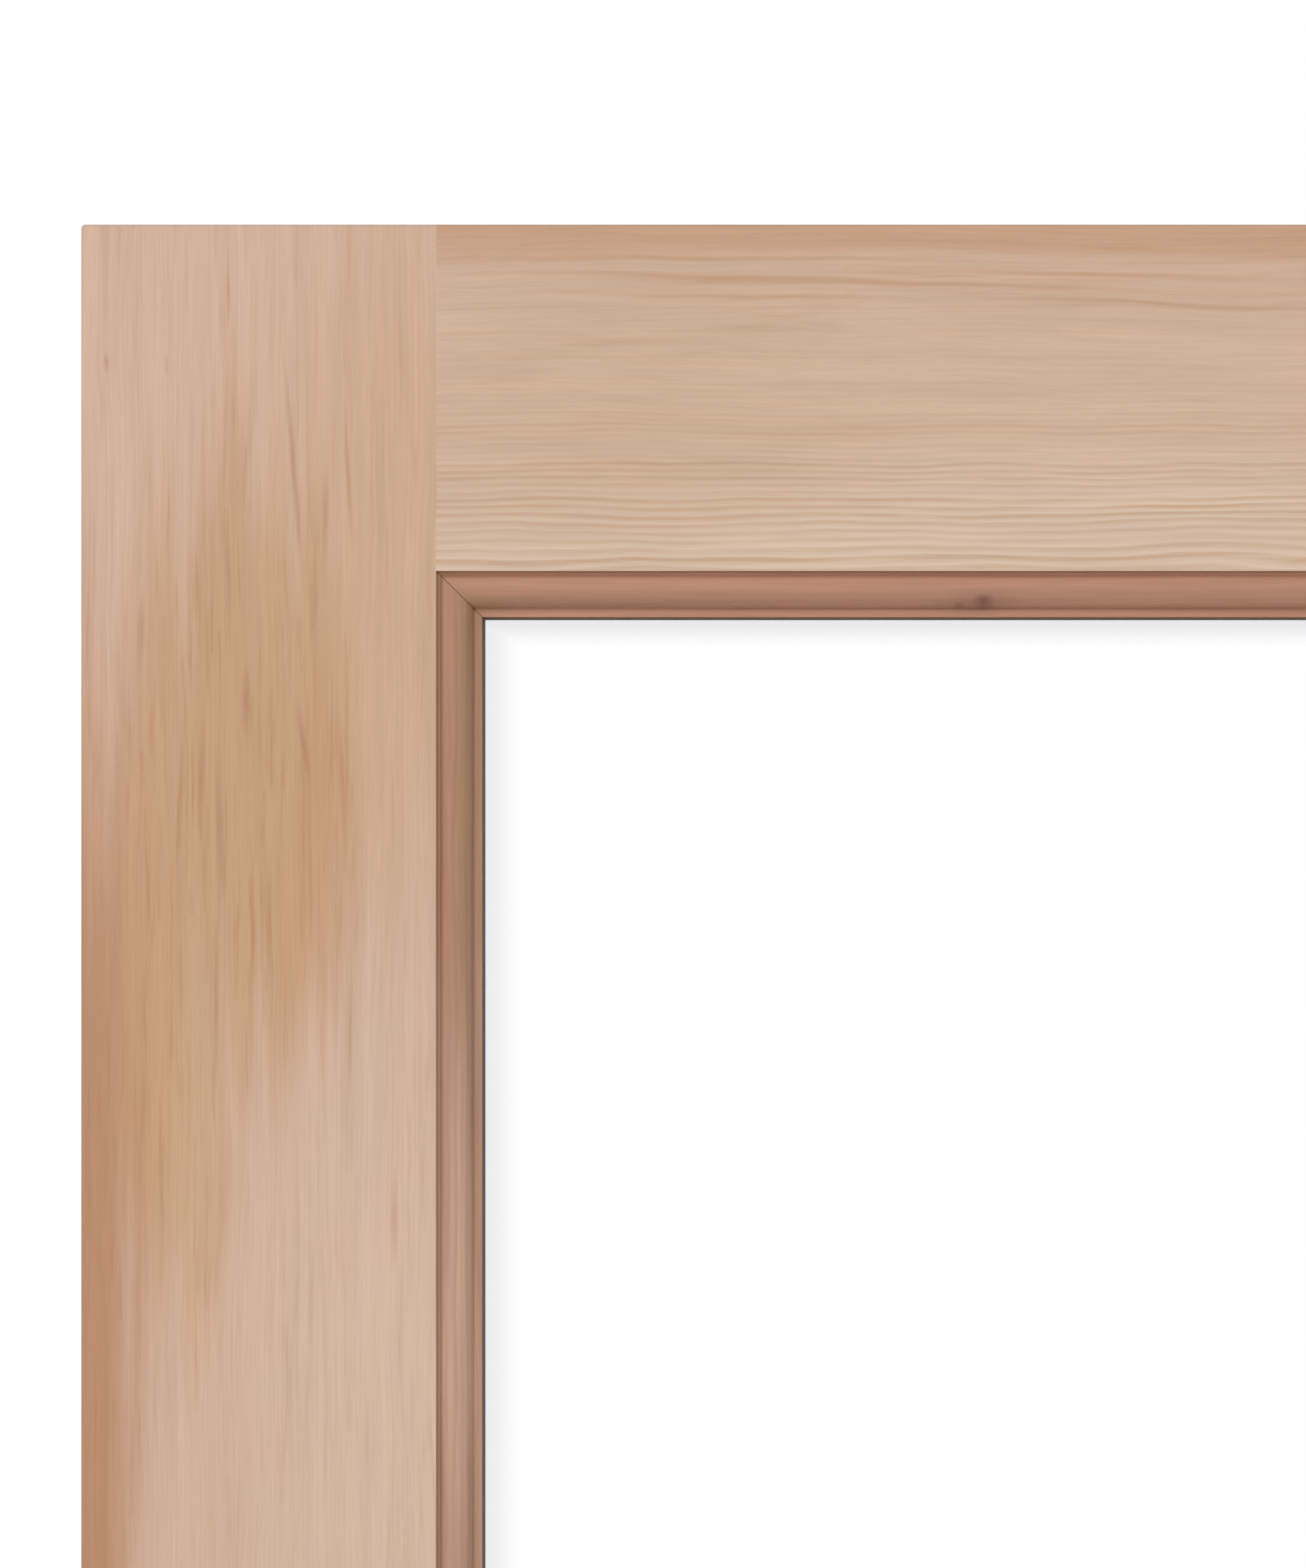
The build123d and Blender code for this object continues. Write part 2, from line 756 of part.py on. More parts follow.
def frame_screws(extra=0.0):
    """Screws through the legs into the head's ends, and up through the sill into the legs."""
    screws = []
    half = frame_screw_spread / 2
    for side in (-1, 1):
        for x in (-half, half):
            head_seat = (x, side * frame_half, head_underside + jamb_thickness / 2)
            sill_seat = (x, side * (opening_half + jamb_thickness / 2), 0)
            for seat, into in ((head_seat, (0, -side, 0)), (sill_seat, (0, 0, 1))):
                screws.append(
                    wood_screw(seat, into, frame_screw_radius, frame_screw_head, frame_screw_length, extra)
                )
    return screws


def plain_leg(side):
    """A jamb leg with eased front and back arrises, rabbeted at the top for the head."""
    inner = side * opening_half
    leg = block((face_x, -face_x), (inner, side * frame_half), (sill_thickness, frame_top))
    arrises = leg.edges().filter_by(Axis.Z).group_by(Axis.Y)[-1 if side < 0 else 0]
    leg = fillet(arrises, jamb_arris)
    housing = (inner, inner + side * head_housing)
    leg = leg - block((face_x, -face_x), housing, (head_underside, frame_top))
    return leg - frame_screws(screw_fit) - stop_nails()


def hinge_jamb():
    """The leg that carries the hinges."""
    leg = plain_leg(-1)
    for middle in hinge_middles.values():
        leg = leg - hinge_mortise(-1, middle) - hinge_screws(-1, middle, screw_fit)
    return leg


def strike_jamb():
    """The leg with the strike's mortise and the pocket behind its window."""
    leg = plain_leg(1)
    mortise = strike_blank(mortise_fit)
    pocket_back = opening_half + strike_thickness + strike_pocket_depth
    return leg - mortise - strike_window((opening_half, pocket_back)) - strike_screws(screw_fit)


def head_jamb():
    """The head, let into both legs."""
    half = opening_half + head_housing
    head = block((face_x, -face_x), (-half, half), (head_underside, frame_top))
    return head - frame_screws(screw_fit) - stop_nails()


def sill():
    """A hardwood sill under both legs, bevelled to the outside between them."""
    board = block((face_x, -face_x), (-frame_half, frame_half), (0, sill_thickness))
    outline = Polyline(
        (face_x, sill_thickness),
        (face_x + sill_bevel_width, sill_thickness),
        (face_x, sill_thickness - sill_bevel_drop),
        close=True,
    )
    base = Plane(origin=(0, opening_half, 0), x_dir=(1, 0, 0), z_dir=(0, -1, 0))
    bevel = extrude(base * make_face(outline), 2 * opening_half, dir=(0, -1, 0))
    return board - bevel - frame_screws(screw_fit)


def side_stop(side):
    """A stop on one leg, from the sill to the head stop."""
    front = back_x + stop_gap
    across = (side * (opening_half - stop_thickness), side * opening_half)
    bar = block((front, front + stop_width), across, (sill_thickness, head_underside - stop_thickness))
    back_edges = bar.edges().filter_by(Axis.Z).group_by(Axis.X)[-1]
    arris = back_edges.sort_by(Axis.Y)[-1 if side < 0 else 0]
    return fillet(arris, stop_arris) - stop_nails()


def head_stop():
    """The stop across the head, over the ends of the side stops."""
    front = back_x + stop_gap
    low = head_underside - stop_thickness
    bar = block((front, front + stop_width), (-opening_half, opening_half), (low, head_underside))
    arris = bar.edges().filter_by(Axis.Y).group_by(Axis.X)[-1].sort_by(Axis.Z)[0]
    return fillet(arris, stop_arris) - stop_nails()


# Leaf assembly

def lock_stile():
    """The free stile, bored for the catch and the pull rods."""
    stile = plain_stile(1) - catch_outline(mortise_fit)
    return stile - catch_screws(screw_fit) - pull_rods(rod_clearance)


def hinge_stile():
    """The stile that carries the leaf's hinge plates."""
    stile = plain_stile(-1)
    for middle in hinge_middles.values():
        stile = stile - hinge_mortise(1, middle) - hinge_screws(1, middle, screw_fit)
    return stile


def frame_pieces():
    """Everything that stays on the wall."""
    pieces = {
        "hinge_jamb": hinge_jamb(),
        "strike_jamb": strike_jamb(),
        "head_jamb": head_jamb(),
        "sill": sill(),
        "hinge_side_stop": side_stop(-1),
        "strike_side_stop": side_stop(1),
        "head_stop": head_stop(),
        "stop_nails": Compound(children=stop_nails()),
        "frame_screws": Compound(children=frame_screws()),
        "strike_plate": strike_plate(),
        "strike_screws": Compound(children=strike_screws()),
    }
    screws = []
    for name, middle in hinge_middles.items():
        pieces[f"{name}_hinge_jamb_plate"] = hinge_plate(-1, middle)
        pieces[f"{name}_hinge_pin"] = hinge_pin(middle)
        screws += hinge_screws(-1, middle)
    pieces["hinge_jamb_screws"] = Compound(children=screws)
    return pieces


def leaf_pieces():
    """Everything that swings, drawn shut."""
    pieces = {
        "hinge_stile": hinge_stile(),
        "lock_stile": lock_stile(),
        "top_rail": top_rail(),
        "bottom_rail": bottom_rail(),
        "rail_dowels": Compound(children=rail_dowels()),
        "bead_pins": Compound(children=bead_pins()),
        "outer_pull": bow_pull(face_x, -1),
        "inner_pull": bow_pull(back_x, 1),
        "pull_rods": Compound(children=pull_rods()),
        "pull_inserts": Compound(children=[bar - pull_rods(insert_bore_room) for bar in pull_inserts()]),
        "catch_case": catch_case(),
        "catch_screws": Compound(children=catch_screws()),
        "catch_spring": catch_spring(),
        "catch_plunger": catch_plunger(),
        "catch_roller_pin": roller_pin(),
        "catch_roller": catch_roller(),
    }
    pieces.update(glazing())
    bead_names = {"top": "top", "bottom": "bottom", "hinge": "hinge_side", "lock": "lock_side"}
    for side, name in bead_names.items():
        pieces[f"{name}_bead"] = glazing_bead(side)
    screws = []
    for name, middle in hinge_middles.items():
        pieces[f"{name}_hinge_leaf_plate"] = hinge_plate(1, middle)
        screws += hinge_screws(1, middle)
    pieces["hinge_leaf_screws"] = Compound(children=screws)
    return pieces


os.makedirs("parts", exist_ok=True)
for name, piece in frame_pieces().items():
    export_step(piece, f"parts/{name}.step")
for name, piece in leaf_pieces().items():
    export_step(piece.rotate(hinge_line, open_angle), f"parts/{name}.step")
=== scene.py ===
import math

import bmesh
import bpy
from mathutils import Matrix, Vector


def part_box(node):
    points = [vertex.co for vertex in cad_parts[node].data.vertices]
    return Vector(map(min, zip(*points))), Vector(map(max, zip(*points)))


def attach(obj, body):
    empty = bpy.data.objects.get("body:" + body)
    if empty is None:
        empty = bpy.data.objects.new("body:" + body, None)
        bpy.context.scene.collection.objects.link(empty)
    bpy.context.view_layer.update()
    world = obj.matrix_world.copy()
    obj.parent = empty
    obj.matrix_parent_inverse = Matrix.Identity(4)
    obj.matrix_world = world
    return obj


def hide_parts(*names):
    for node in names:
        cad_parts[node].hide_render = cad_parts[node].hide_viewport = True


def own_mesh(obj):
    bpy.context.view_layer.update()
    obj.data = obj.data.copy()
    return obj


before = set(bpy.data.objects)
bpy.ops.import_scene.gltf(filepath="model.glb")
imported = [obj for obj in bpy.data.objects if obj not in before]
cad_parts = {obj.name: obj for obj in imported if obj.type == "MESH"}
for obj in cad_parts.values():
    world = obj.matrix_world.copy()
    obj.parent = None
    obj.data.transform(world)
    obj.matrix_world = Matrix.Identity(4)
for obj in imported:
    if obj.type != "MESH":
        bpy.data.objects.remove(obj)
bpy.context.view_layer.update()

# The studio: a product shot cut out on white. Two soft lamps light the wood, the stronger from the upper
# left, and camera, mirror and glass rays find the surround white. The floor keeps the door's shadow.
surround_level = 0.57
floor_size = 30.0
floor_level = -0.001
glow_start, glow_end = 1.5, 6.0
near_glow, far_glow = 0.48, 0.76
door_middle = (-0.35, -0.2, 1.1)


def linear(code):
    """An sRGB hex colour as linear RGBA."""
    shares = [int(code[start:start + 2], 16) / 255 for start in (0, 2, 4)]
    return [c / 12.92 if c <= 0.04045 else ((c + 0.055) / 1.055) ** 2.4 for c in shares] + [1.0]


def add_node(tree, kind, inputs=None, **settings):
    """Adds one node with its settings. Each input gets a value, or a link from another node's output, and
    is named or numbered: a Map Range reads the span 1 to 2 and gives the span 3 to 4, and a Mix has its
    colours at 6 and 7."""
    node = tree.nodes.new(kind)
    for name, value in settings.items():
        setattr(node, name, value)
    for key, value in (inputs or {}).items():
        if isinstance(value, bpy.types.NodeSocket):
            tree.links.new(value, node.inputs[key])
        else:
            node.inputs[key].default_value = value
    return node


def seen_ray(tree):
    """1 for a ray that shows the surround straight on, in a gloss or through glass, and else 0."""
    ray = add_node(tree, "ShaderNodeLightPath").outputs
    seen = ray["Is Camera Ray"]
    for kind in ("Is Glossy Ray", "Is Transmission Ray"):
        seen = add_node(tree, "ShaderNodeMath", {0: seen, 1: ray[kind]}, operation="MAXIMUM").outputs[0]
    return seen


bpy.context.scene.view_settings.view_transform = "Standard"
surround = bpy.data.worlds.new("pale_studio_surround")
bpy.context.scene.world = surround
surround.use_nodes = True
tree = surround.node_tree
tree.nodes.clear()
strength = add_node(tree, "ShaderNodeMix", {0: seen_ray(tree), 2: surround_level, 3: 1.0}).outputs[0]
background = {"Color": linear("ffffff"), "Strength": strength}
background = add_node(tree, "ShaderNodeBackground", background).outputs[0]
add_node(tree, "ShaderNodeOutputWorld", {"Surface": background})

half = floor_size / 2
corners = [(x * half, y * half, floor_level) for x, y in ((-1, -1), (1, -1), (1, 1), (-1, 1))]
floor_mesh = bpy.data.meshes.new("studio_floor")
floor_mesh.from_pydata(corners, [], [(0, 1, 2, 3)])
studio_floor = bpy.data.objects.new("studio_floor", floor_mesh)
bpy.context.scene.collection.objects.link(studio_floor)
floor_paint = bpy.data.materials.new("matt_floor_paint")
floor_paint.use_nodes = True
tree = floor_paint.node_tree
tree.nodes.clear()
place = add_node(tree, "ShaderNodeTexCoord").outputs["Object"]
away = add_node(tree, "ShaderNodeVectorMath", {0: place}, operation="LENGTH").outputs["Value"]
rise = {0: away, 1: glow_start, 2: glow_end, 3: near_glow, 4: far_glow}
rise = add_node(tree, "ShaderNodeMapRange", rise, interpolation_type="SMOOTHSTEP").outputs[0]
strength = add_node(tree, "ShaderNodeMath", {0: seen_ray(tree), 1: rise}, operation="MULTIPLY").outputs[0]
glow = add_node(tree, "ShaderNodeEmission", {"Color": linear("ffffff"), "Strength": strength}).outputs[0]
matt = add_node(tree, "ShaderNodeBsdfDiffuse", {"Color": linear("f1efec")}).outputs[0]
surface = add_node(tree, "ShaderNodeAddShader", {0: matt, 1: glow}).outputs[0]
add_node(tree, "ShaderNodeOutputMaterial", {"Surface": surface})
floor_mesh.materials.append(floor_paint)


def soft_lamp(name, place, aim, width, power):
    """A square soft lamp at a place, turned to a point."""
    lamp = bpy.data.lights.new(name, "AREA")
    lamp.size = width
    lamp.energy = power
    holder = bpy.data.objects.new(name, lamp)
    holder.location = place
    holder.rotation_euler = (Vector(aim) - Vector(place)).to_track_quat("-Z", "Y").to_euler()
    holder.visible_camera = False
    bpy.context.scene.collection.objects.link(holder)


soft_lamp("key_lamp", place=(-2.0, -6.9, 4.3), aim=door_middle, width=3.0, power=208.0)
soft_lamp("back_lamp", place=(4.0, 5.0, 3.4), aim=door_middle, width=3.5, power=82.0)

# The camera: the photograph is a straight-on close-up of the leaf's upper free corner, taken from about
# 2.4 m. Its height shows 445.2 mm, and its middle is this far in from the free edge and below the top.
shown_height = 0.4452
middle_inwards, middle_below = 0.1624, 0.1589
camera_distance = 2.4
sensor_size = 36.0
leaf_low, leaf_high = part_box("lock_stile")
camera_data = bpy.data.cameras.new("close_up_camera")
camera_data.sensor_width = sensor_size
camera_data.lens = sensor_size * camera_distance / shown_height
camera_data.clip_end = 200.0
camera = bpy.data.objects.new("close_up_camera", camera_data)
camera.location = (leaf_low.x + middle_inwards, leaf_low.y - camera_distance, leaf_high.z - middle_below)
camera.rotation_euler = (math.radians(90), 0, 0)
bpy.context.scene.collection.objects.link(camera)
bpy.context.scene.camera = camera


# The sill: one board of oiled oak, 19 mm thick, planed and bevelled to the outside, under both legs.
# Oil darkens oak to a honey brown and leaves a low sheen. Its pores are fine dark lines along the grain.
def timber(name, grain, tones, pitch, heart, seed, rings=0.5, clear=1.0, figure=0.3, fibre=0.06, drift=0.7,
           wander=1.6, roughness=0.6, streaks=(), fields=(), calm_fields=1):
    """Planed solid wood as a pattern through the whole board, in mm. grain is the axis along the board,
    heart is where the tree's heart lies beside it and pitch is the width of a year's ring. tones are the
    pale early wood, the late wood and a warm tint. Early wood shades into a late line each year, rings
    strong near the heart and clear times as strong far from it. Short soft dashes of the late tone lie along
    the grain, figure strong, and the board drifts to the warm tint. Fields and streaks are marks in the
    leaf's outer face: (start, end, half width, colour, strength), with each point in mm in from the free
    edge and below the top. Dashes crowd in all of them but the first calm_fields fields."""
    # how wide and how long each part of the grain is; the fibres are drawn coarser than real ones, to show
    fibre_size, dash_size, band_size = (0.67, 25.0), (1.6, 38.5), (5.56, 111.0)
    finger_size, sway_size, drift_size = (7.7, 200.0), (28.5, 83.3), (45.5, 476.0)
    # how far the grain sways, and how far a field's edge runs out into fingers, across and along the board
    sway_reach, finger_reach = (wander * 4, wander * 4, 0.0), (20.0, 0.0, 150.0)
    # how dark a year's ring is at each share of its width, and how pale the palest year is
    season_shades, palest_year = ((0.3, 0.35), (0.58, 0.95), (0.78, 0.9)), 0.35
    # how far from the heart the rings change to clear times their strength
    clear_from, clear_to = 50.0, 80.0
    # how deep a mark goes, and how far in from a field's edge, as a share, it is at its full strength
    mark_depth, field_edge = 30.0, 0.75
    # the part of each noise that shows: from where to where it has its effect
    fibre_span, band_span, drift_span = (0.25, 0.75), (0.3, 0.7), (0.3, 0.7)
    fade_span, dash_span = (0.35, 0.55), (0.52, 0.72)
    # how strong rings and dashes are where they are weakest, and how much the bands change the light
    faint_ring, sparse_dashes, band_light = 0.45, 0.4, 0.045
    # how high the late lines stand as a share of the fibres, and the fibres in metres
    line_height, fibre_height = 0.6, 0.00006
    # how much smoother and rougher than its mean the fibres leave the wood
    smoother, rougher = 0.05, 0.08

    material = bpy.data.materials.new(name)
    material.use_nodes = True
    tree = material.node_tree
    tree.nodes.clear()
    place = add_node(tree, "ShaderNodeTexCoord").outputs["Object"]
    axes = add_node(tree, "ShaderNodeSeparateXYZ", {0: place}).outputs
    across, depth, along = {"X": (2, 1, 0), "Y": (0, 2, 1), "Z": (0, 1, 2)}[grain]
    board = {0: axes[across], 1: axes[depth], 2: axes[along]}
    board = add_node(tree, "ShaderNodeCombineXYZ", board).outputs[0]
    board = {0: board, "Scale": 1000.0}
    board = add_node(tree, "ShaderNodeVectorMath", board, operation="SCALE").outputs[0]

    # the grain wanders a little from straight, and fields have ragged edges
    moved = []
    for start, (wide, long), detail, reach in (
        ((seed * 7.1, seed * 3.3, seed * 1.7), sway_size, 2.0, sway_reach),
        ((seed, seed, seed), finger_size, 3.0, finger_reach),
    ):
        noise = {0: board, 1: start, 3: (1 / wide, 1 / wide, 1 / long)}
        noise = add_node(tree, "ShaderNodeMapping", noise).outputs[0]
        noise = {"Vector": noise, "Scale": 1.0, "Detail": detail}
        noise = add_node(tree, "ShaderNodeTexNoise", noise).outputs["Color"]
        noise = {0: noise, 1: (0.5, 0.5, 0.5)}
        noise = add_node(tree, "ShaderNodeVectorMath", noise, operation="SUBTRACT").outputs[0]
        noise = {0: noise, 1: reach, 2: board}
        moved.append(add_node(tree, "ShaderNodeVectorMath", noise, operation="MULTIPLY_ADD").outputs[0])
    sway, ragged = moved

    # a ring for each year round the heart, each year as dark as it comes
    away = {0: sway, 1: (*heart, 0.0)}
    away = add_node(tree, "ShaderNodeVectorMath", away, operation="SUBTRACT").outputs[0]
    away = {0: away, 1: (1.0, 1.0, 0.0)}
    away = add_node(tree, "ShaderNodeVectorMath", away, operation="MULTIPLY").outputs[0]
    radius = add_node(tree, "ShaderNodeVectorMath", {0: away}, operation="LENGTH").outputs["Value"]
    years = add_node(tree, "ShaderNodeMath", {0: radius, 1: pitch}, operation="DIVIDE").outputs[0]
    season = add_node(tree, "ShaderNodeMath", {0: years}, operation="FRACT").outputs[0]
    line = add_node(tree, "ShaderNodeValToRGB", {0: season})
    line.color_ramp.interpolation = "EASE"
    line.color_ramp.elements[1].color = (0.0, 0.0, 0.0, 1.0)
    for position, shade in season_shades:
        line.color_ramp.elements.new(position).color = (shade, shade, shade, 1.0)
    year = add_node(tree, "ShaderNodeMath", {0: years}, operation="FLOOR").outputs[0]
    harvest = add_node(tree, "ShaderNodeTexWhiteNoise", {"W": year}, noise_dimensions="1D").outputs["Value"]
    harvest = {0: harvest, 3: palest_year * rings, 4: rings}
    harvest = add_node(tree, "ShaderNodeMapRange", harvest).outputs[0]
    calm = {0: radius, 1: clear_from, 2: clear_to, 3: 1.0, 4: clear}
    calm = add_node(tree, "ShaderNodeMapRange", calm).outputs[0]
    harvest = add_node(tree, "ShaderNodeMath", {0: harvest, 1: calm}, operation="MULTIPLY").outputs[0]
    ring = {0: line.outputs[0], 1: harvest}
    ring = add_node(tree, "ShaderNodeMath", ring, operation="MULTIPLY").outputs[0]

    # fine fibres, broader bands, short dashes that rings fade in and out with, and a slow drift of tint
    noises = []
    for source, turn, (wide, long), detail in (
        (sway, 1, fibre_size, 3.0),
        (sway, 2, band_size, 2.0),
        (sway, 3, dash_size, 3.0),
        (board, 5, drift_size, 1.0),
    ):
        noise = {0: source, 1: (seed * turn, seed, seed * turn), 3: (1 / wide, 1 / wide, 1 / long)}
        noise = add_node(tree, "ShaderNodeMapping", noise).outputs[0]
        noise = {"Vector": noise, "Scale": 1.0, "Detail": detail, "Roughness": 0.6}
        noises.append(add_node(tree, "ShaderNodeTexNoise", noise).outputs[0])
    fine, bands, dashes, tint = noises
    tint = {0: tint, 1: drift_span[0], 2: drift_span[1], 3: 0.0, 4: drift}
    tint = add_node(tree, "ShaderNodeMapRange", tint).outputs[0]
    pale, late, warm = [linear(tone) for tone in tones]
    colour = add_node(tree, "ShaderNodeMix", {0: tint, 6: pale, 7: warm}, data_type="RGBA").outputs[2]

    # the marks, each an ellipse round its start and end that fades to its edge; on the beads, some fields
    # are painted shade and painted light
    leaf_low, leaf_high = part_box("lock_stile")
    free_edge, leaf_face, leaf_top = leaf_low.x * 1000, leaf_low.y * 1000, leaf_high.z * 1000
    marked = 0.0
    for marks, source, edge, full in (
        (fields, ragged, "SMOOTHERSTEP", field_edge), (streaks, sway, "LINEAR", 1.0),
    ):
        for order, (start, end, half_width, code, strength) in enumerate(marks):
            ends = [(free_edge + inwards, leaf_top - below) for inwards, below in (start, end)]
            if grain == "X":
                ends = [(height, x) for x, height in ends]
            (start_across, start_along), (end_across, end_along) = ends
            reach = (end_across - start_across, end_along - start_along)
            middle = ((start_across + end_across) / 2, leaf_face, (start_along + end_along) / 2)
            size = (half_width, mark_depth, math.hypot(*reach) / 2)
            spot = {0: source, 1: middle, 2: (0.0, math.atan2(*reach), 0.0), 3: size}
            spot = add_node(tree, "ShaderNodeMapping", spot, vector_type="TEXTURE").outputs[0]
            spot = {0: spot}
            spot = add_node(tree, "ShaderNodeTexGradient", spot, gradient_type="SPHERICAL").outputs["Fac"]
            spot = {0: spot, 2: full, 4: strength}
            spot = add_node(tree, "ShaderNodeMapRange", spot, interpolation_type=edge).outputs[0]
            if order >= calm_fields or marks is streaks:
                marked = {0: spot, 1: marked}
                marked = add_node(tree, "ShaderNodeMath", marked, operation="MAXIMUM").outputs[0]
            colour = {0: spot, 6: colour, 7: linear(code)}
            colour = add_node(tree, "ShaderNodeMix", colour, data_type="RGBA").outputs[2]

    # rings and dashes darken the wood, and fibres and bands change its light
    faded = {0: dashes, 1: fade_span[0], 2: fade_span[1], 3: faint_ring, 4: 1.0}
    faded = add_node(tree, "ShaderNodeMapRange", faded).outputs[0]
    ring = add_node(tree, "ShaderNodeMath", {0: ring, 1: faded}, operation="MULTIPLY").outputs[0]
    dashes = {0: dashes, 1: dash_span[0], 2: dash_span[1], 3: 0.0, 4: figure}
    dashes = add_node(tree, "ShaderNodeMapRange", dashes).outputs[0]
    crowd = add_node(tree, "ShaderNodeMapRange", {0: marked, 3: sparse_dashes, 4: 1.0}).outputs[0]
    dashes = add_node(tree, "ShaderNodeMath", {0: dashes, 1: crowd}, operation="MULTIPLY").outputs[0]
    dark = add_node(tree, "ShaderNodeMath", {0: ring, 1: dashes}, operation="MAXIMUM").outputs[0]
    colour = add_node(tree, "ShaderNodeMix", {0: dark, 6: colour, 7: late}, data_type="RGBA").outputs[2]
    light = {0: fine, 1: fibre_span[0], 2: fibre_span[1], 3: 1.0 - fibre, 4: 1.0 + fibre}
    light = add_node(tree, "ShaderNodeMapRange", light).outputs[0]
    broad = {0: bands, 1: band_span[0], 2: band_span[1], 3: 1.0 - band_light, 4: 1.0 + band_light}
    broad = add_node(tree, "ShaderNodeMapRange", broad).outputs[0]
    light = add_node(tree, "ShaderNodeMath", {0: light, 1: broad}, operation="MULTIPLY").outputs[0]
    colour = add_node(tree, "ShaderNodeHueSaturation", {"Value": light, "Color": colour}).outputs[0]

    relief = {0: ring, 1: line_height, 2: fine}
    relief = add_node(tree, "ShaderNodeMath", relief, operation="MULTIPLY_ADD").outputs[0]
    bump = {"Strength": 0.5, "Distance": fibre_height, "Height": relief}
    bump = add_node(tree, "ShaderNodeBump", bump).outputs[0]
    polish = {0: fine, 3: roughness - smoother, 4: roughness + rougher}
    polish = add_node(tree, "ShaderNodeMapRange", polish).outputs[0]
    surface = {"Base Color": colour, "Roughness": polish, "Normal": bump}
    surface.update({"IOR": 1.45, "Specular IOR Level": 0.3})
    surface = add_node(tree, "ShaderNodeBsdfPrincipled", surface).outputs[0]
    add_node(tree, "ShaderNodeOutputMaterial", {"Surface": surface})
    return material


def dress(material, slot, *names):
    """Gives CAD nodes a material in place of their plain one."""
    for name in names:
        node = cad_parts[name]
        node.data.materials.clear()
        node.data.materials.append(material)


oiled_oak = timber(
    "oiled_oak", "Y", ("b98f62", "8f6640", "a97c50"), pitch=2.4, heart=(20.0, -60.0),
    seed=3.0, rings=0.55, fibre=0.16, roughness=0.42,
)
dress(oiled_oak, "sill_wood", "sill")

# The jamb: two legs and a head of planed, unfinished hemlock, 17.5 mm thick and as deep as the wall.
# The head is let into the legs and screwed. Each board came from its own tree, so each has its own figure.
hinge_leg_wood = timber(
    "planed_hemlock_hinge_leg", "Z", ("d3b092", "b98a66", "c9a07c"), pitch=2.1, heart=(-30.0, -420.0),
    seed=11.0,
)
strike_leg_wood = timber(
    "planed_hemlock_strike_leg", "Z", ("d5b496", "bb8d69", "cca482"), pitch=1.8, heart=(70.0, 400.0),
    seed=14.0,
)
head_wood = timber(
    "planed_hemlock_head", "Y", ("d0ac8c", "b78661", "c69c77"), pitch=2.3, heart=(-45.0, 2125.0),
    seed=17.0,
)
dress(hinge_leg_wood, "jamb_wood", "hinge_jamb")
dress(strike_leg_wood, "jamb_wood", "strike_jamb")
dress(head_wood, "jamb_wood", "head_jamb")

# The stops: three strips of the same hemlock with a rounded inner edge, nailed to the jamb.
# They were ripped from narrow stock, so their grain is straighter and closer.
hinge_stop_wood = timber(
    "planed_hemlock_hinge_stop", "Z", ("cda586", "b3815d", "c39873"), pitch=1.5, heart=(-90.0, -330.0),
    seed=21.0,
)
strike_stop_wood = timber(
    "planed_hemlock_strike_stop", "Z", ("cfa888", "b4835f", "c49a76"), pitch=1.6, heart=(95.0, 330.0),
    seed=23.0,
)
head_stop_wood = timber(
    "planed_hemlock_head_stop", "Y", ("cba383", "b07f5b", "c19570"), pitch=1.5, heart=(-80.0, 2080.0),
    seed=25.0,
)
dress(hinge_stop_wood, "stop_wood", "hinge_side_stop")
dress(strike_stop_wood, "stop_wood", "strike_side_stop")
dress(head_stop_wood, "stop_wood", "head_stop")


# The stops' nails: bright drawn steel wire, set under the surface of the wood and filled over.
# Drawn wire is smooth with faint lines along it.
def metal(name, colour, roughness, scratch, seed, line_size=(1.1, 1.1, 11.0), anisotropy=0.0):
    """A bare or plated metal whose brushing or drawing lines vary its roughness by scratch. line_size is in
    mm along X, Y and Z, coarser than real lines, which are too fine to show."""
    # how light the metal is between its lines, as a share, and how deep they are in metres
    dulled, line_depth = 0.86, 0.00002
    material = bpy.data.materials.new(name)
    material.use_nodes = True
    tree = material.node_tree
    tree.nodes.clear()
    place = add_node(tree, "ShaderNodeTexCoord").outputs["Object"]
    lines = {0: place, 1: (seed, seed, seed), 3: [1000 / size for size in line_size]}
    lines = add_node(tree, "ShaderNodeMapping", lines).outputs[0]
    lines = add_node(tree, "ShaderNodeTexNoise", {"Vector": lines, "Scale": 1.0, "Detail": 3.0}).outputs[0]
    dull = [channel * dulled for channel in linear(colour)[:3]] + [1.0]
    shade = {0: lines, 6: dull, 7: linear(colour)}
    shade = add_node(tree, "ShaderNodeMix", shade, data_type="RGBA").outputs[2]
    gloss = {0: lines, 3: roughness - scratch, 4: roughness + scratch}
    gloss = add_node(tree, "ShaderNodeMapRange", gloss).outputs[0]
    bump = {"Strength": 0.25, "Distance": line_depth, "Height": lines}
    bump = add_node(tree, "ShaderNodeBump", bump).outputs[0]
    surface = {"Base Color": shade, "Metallic": 1.0, "Roughness": gloss, "Normal": bump}
    surface["Anisotropic"] = anisotropy
    surface = add_node(tree, "ShaderNodeBsdfPrincipled", surface).outputs[0]
    add_node(tree, "ShaderNodeOutputMaterial", {"Surface": surface})
    return material


drawn_steel = metal("bright_drawn_steel", "b9bab8", roughness=0.32, scratch=0.06, seed=1.0)
dress(drawn_steel, "screw_steel", "stop_nails")

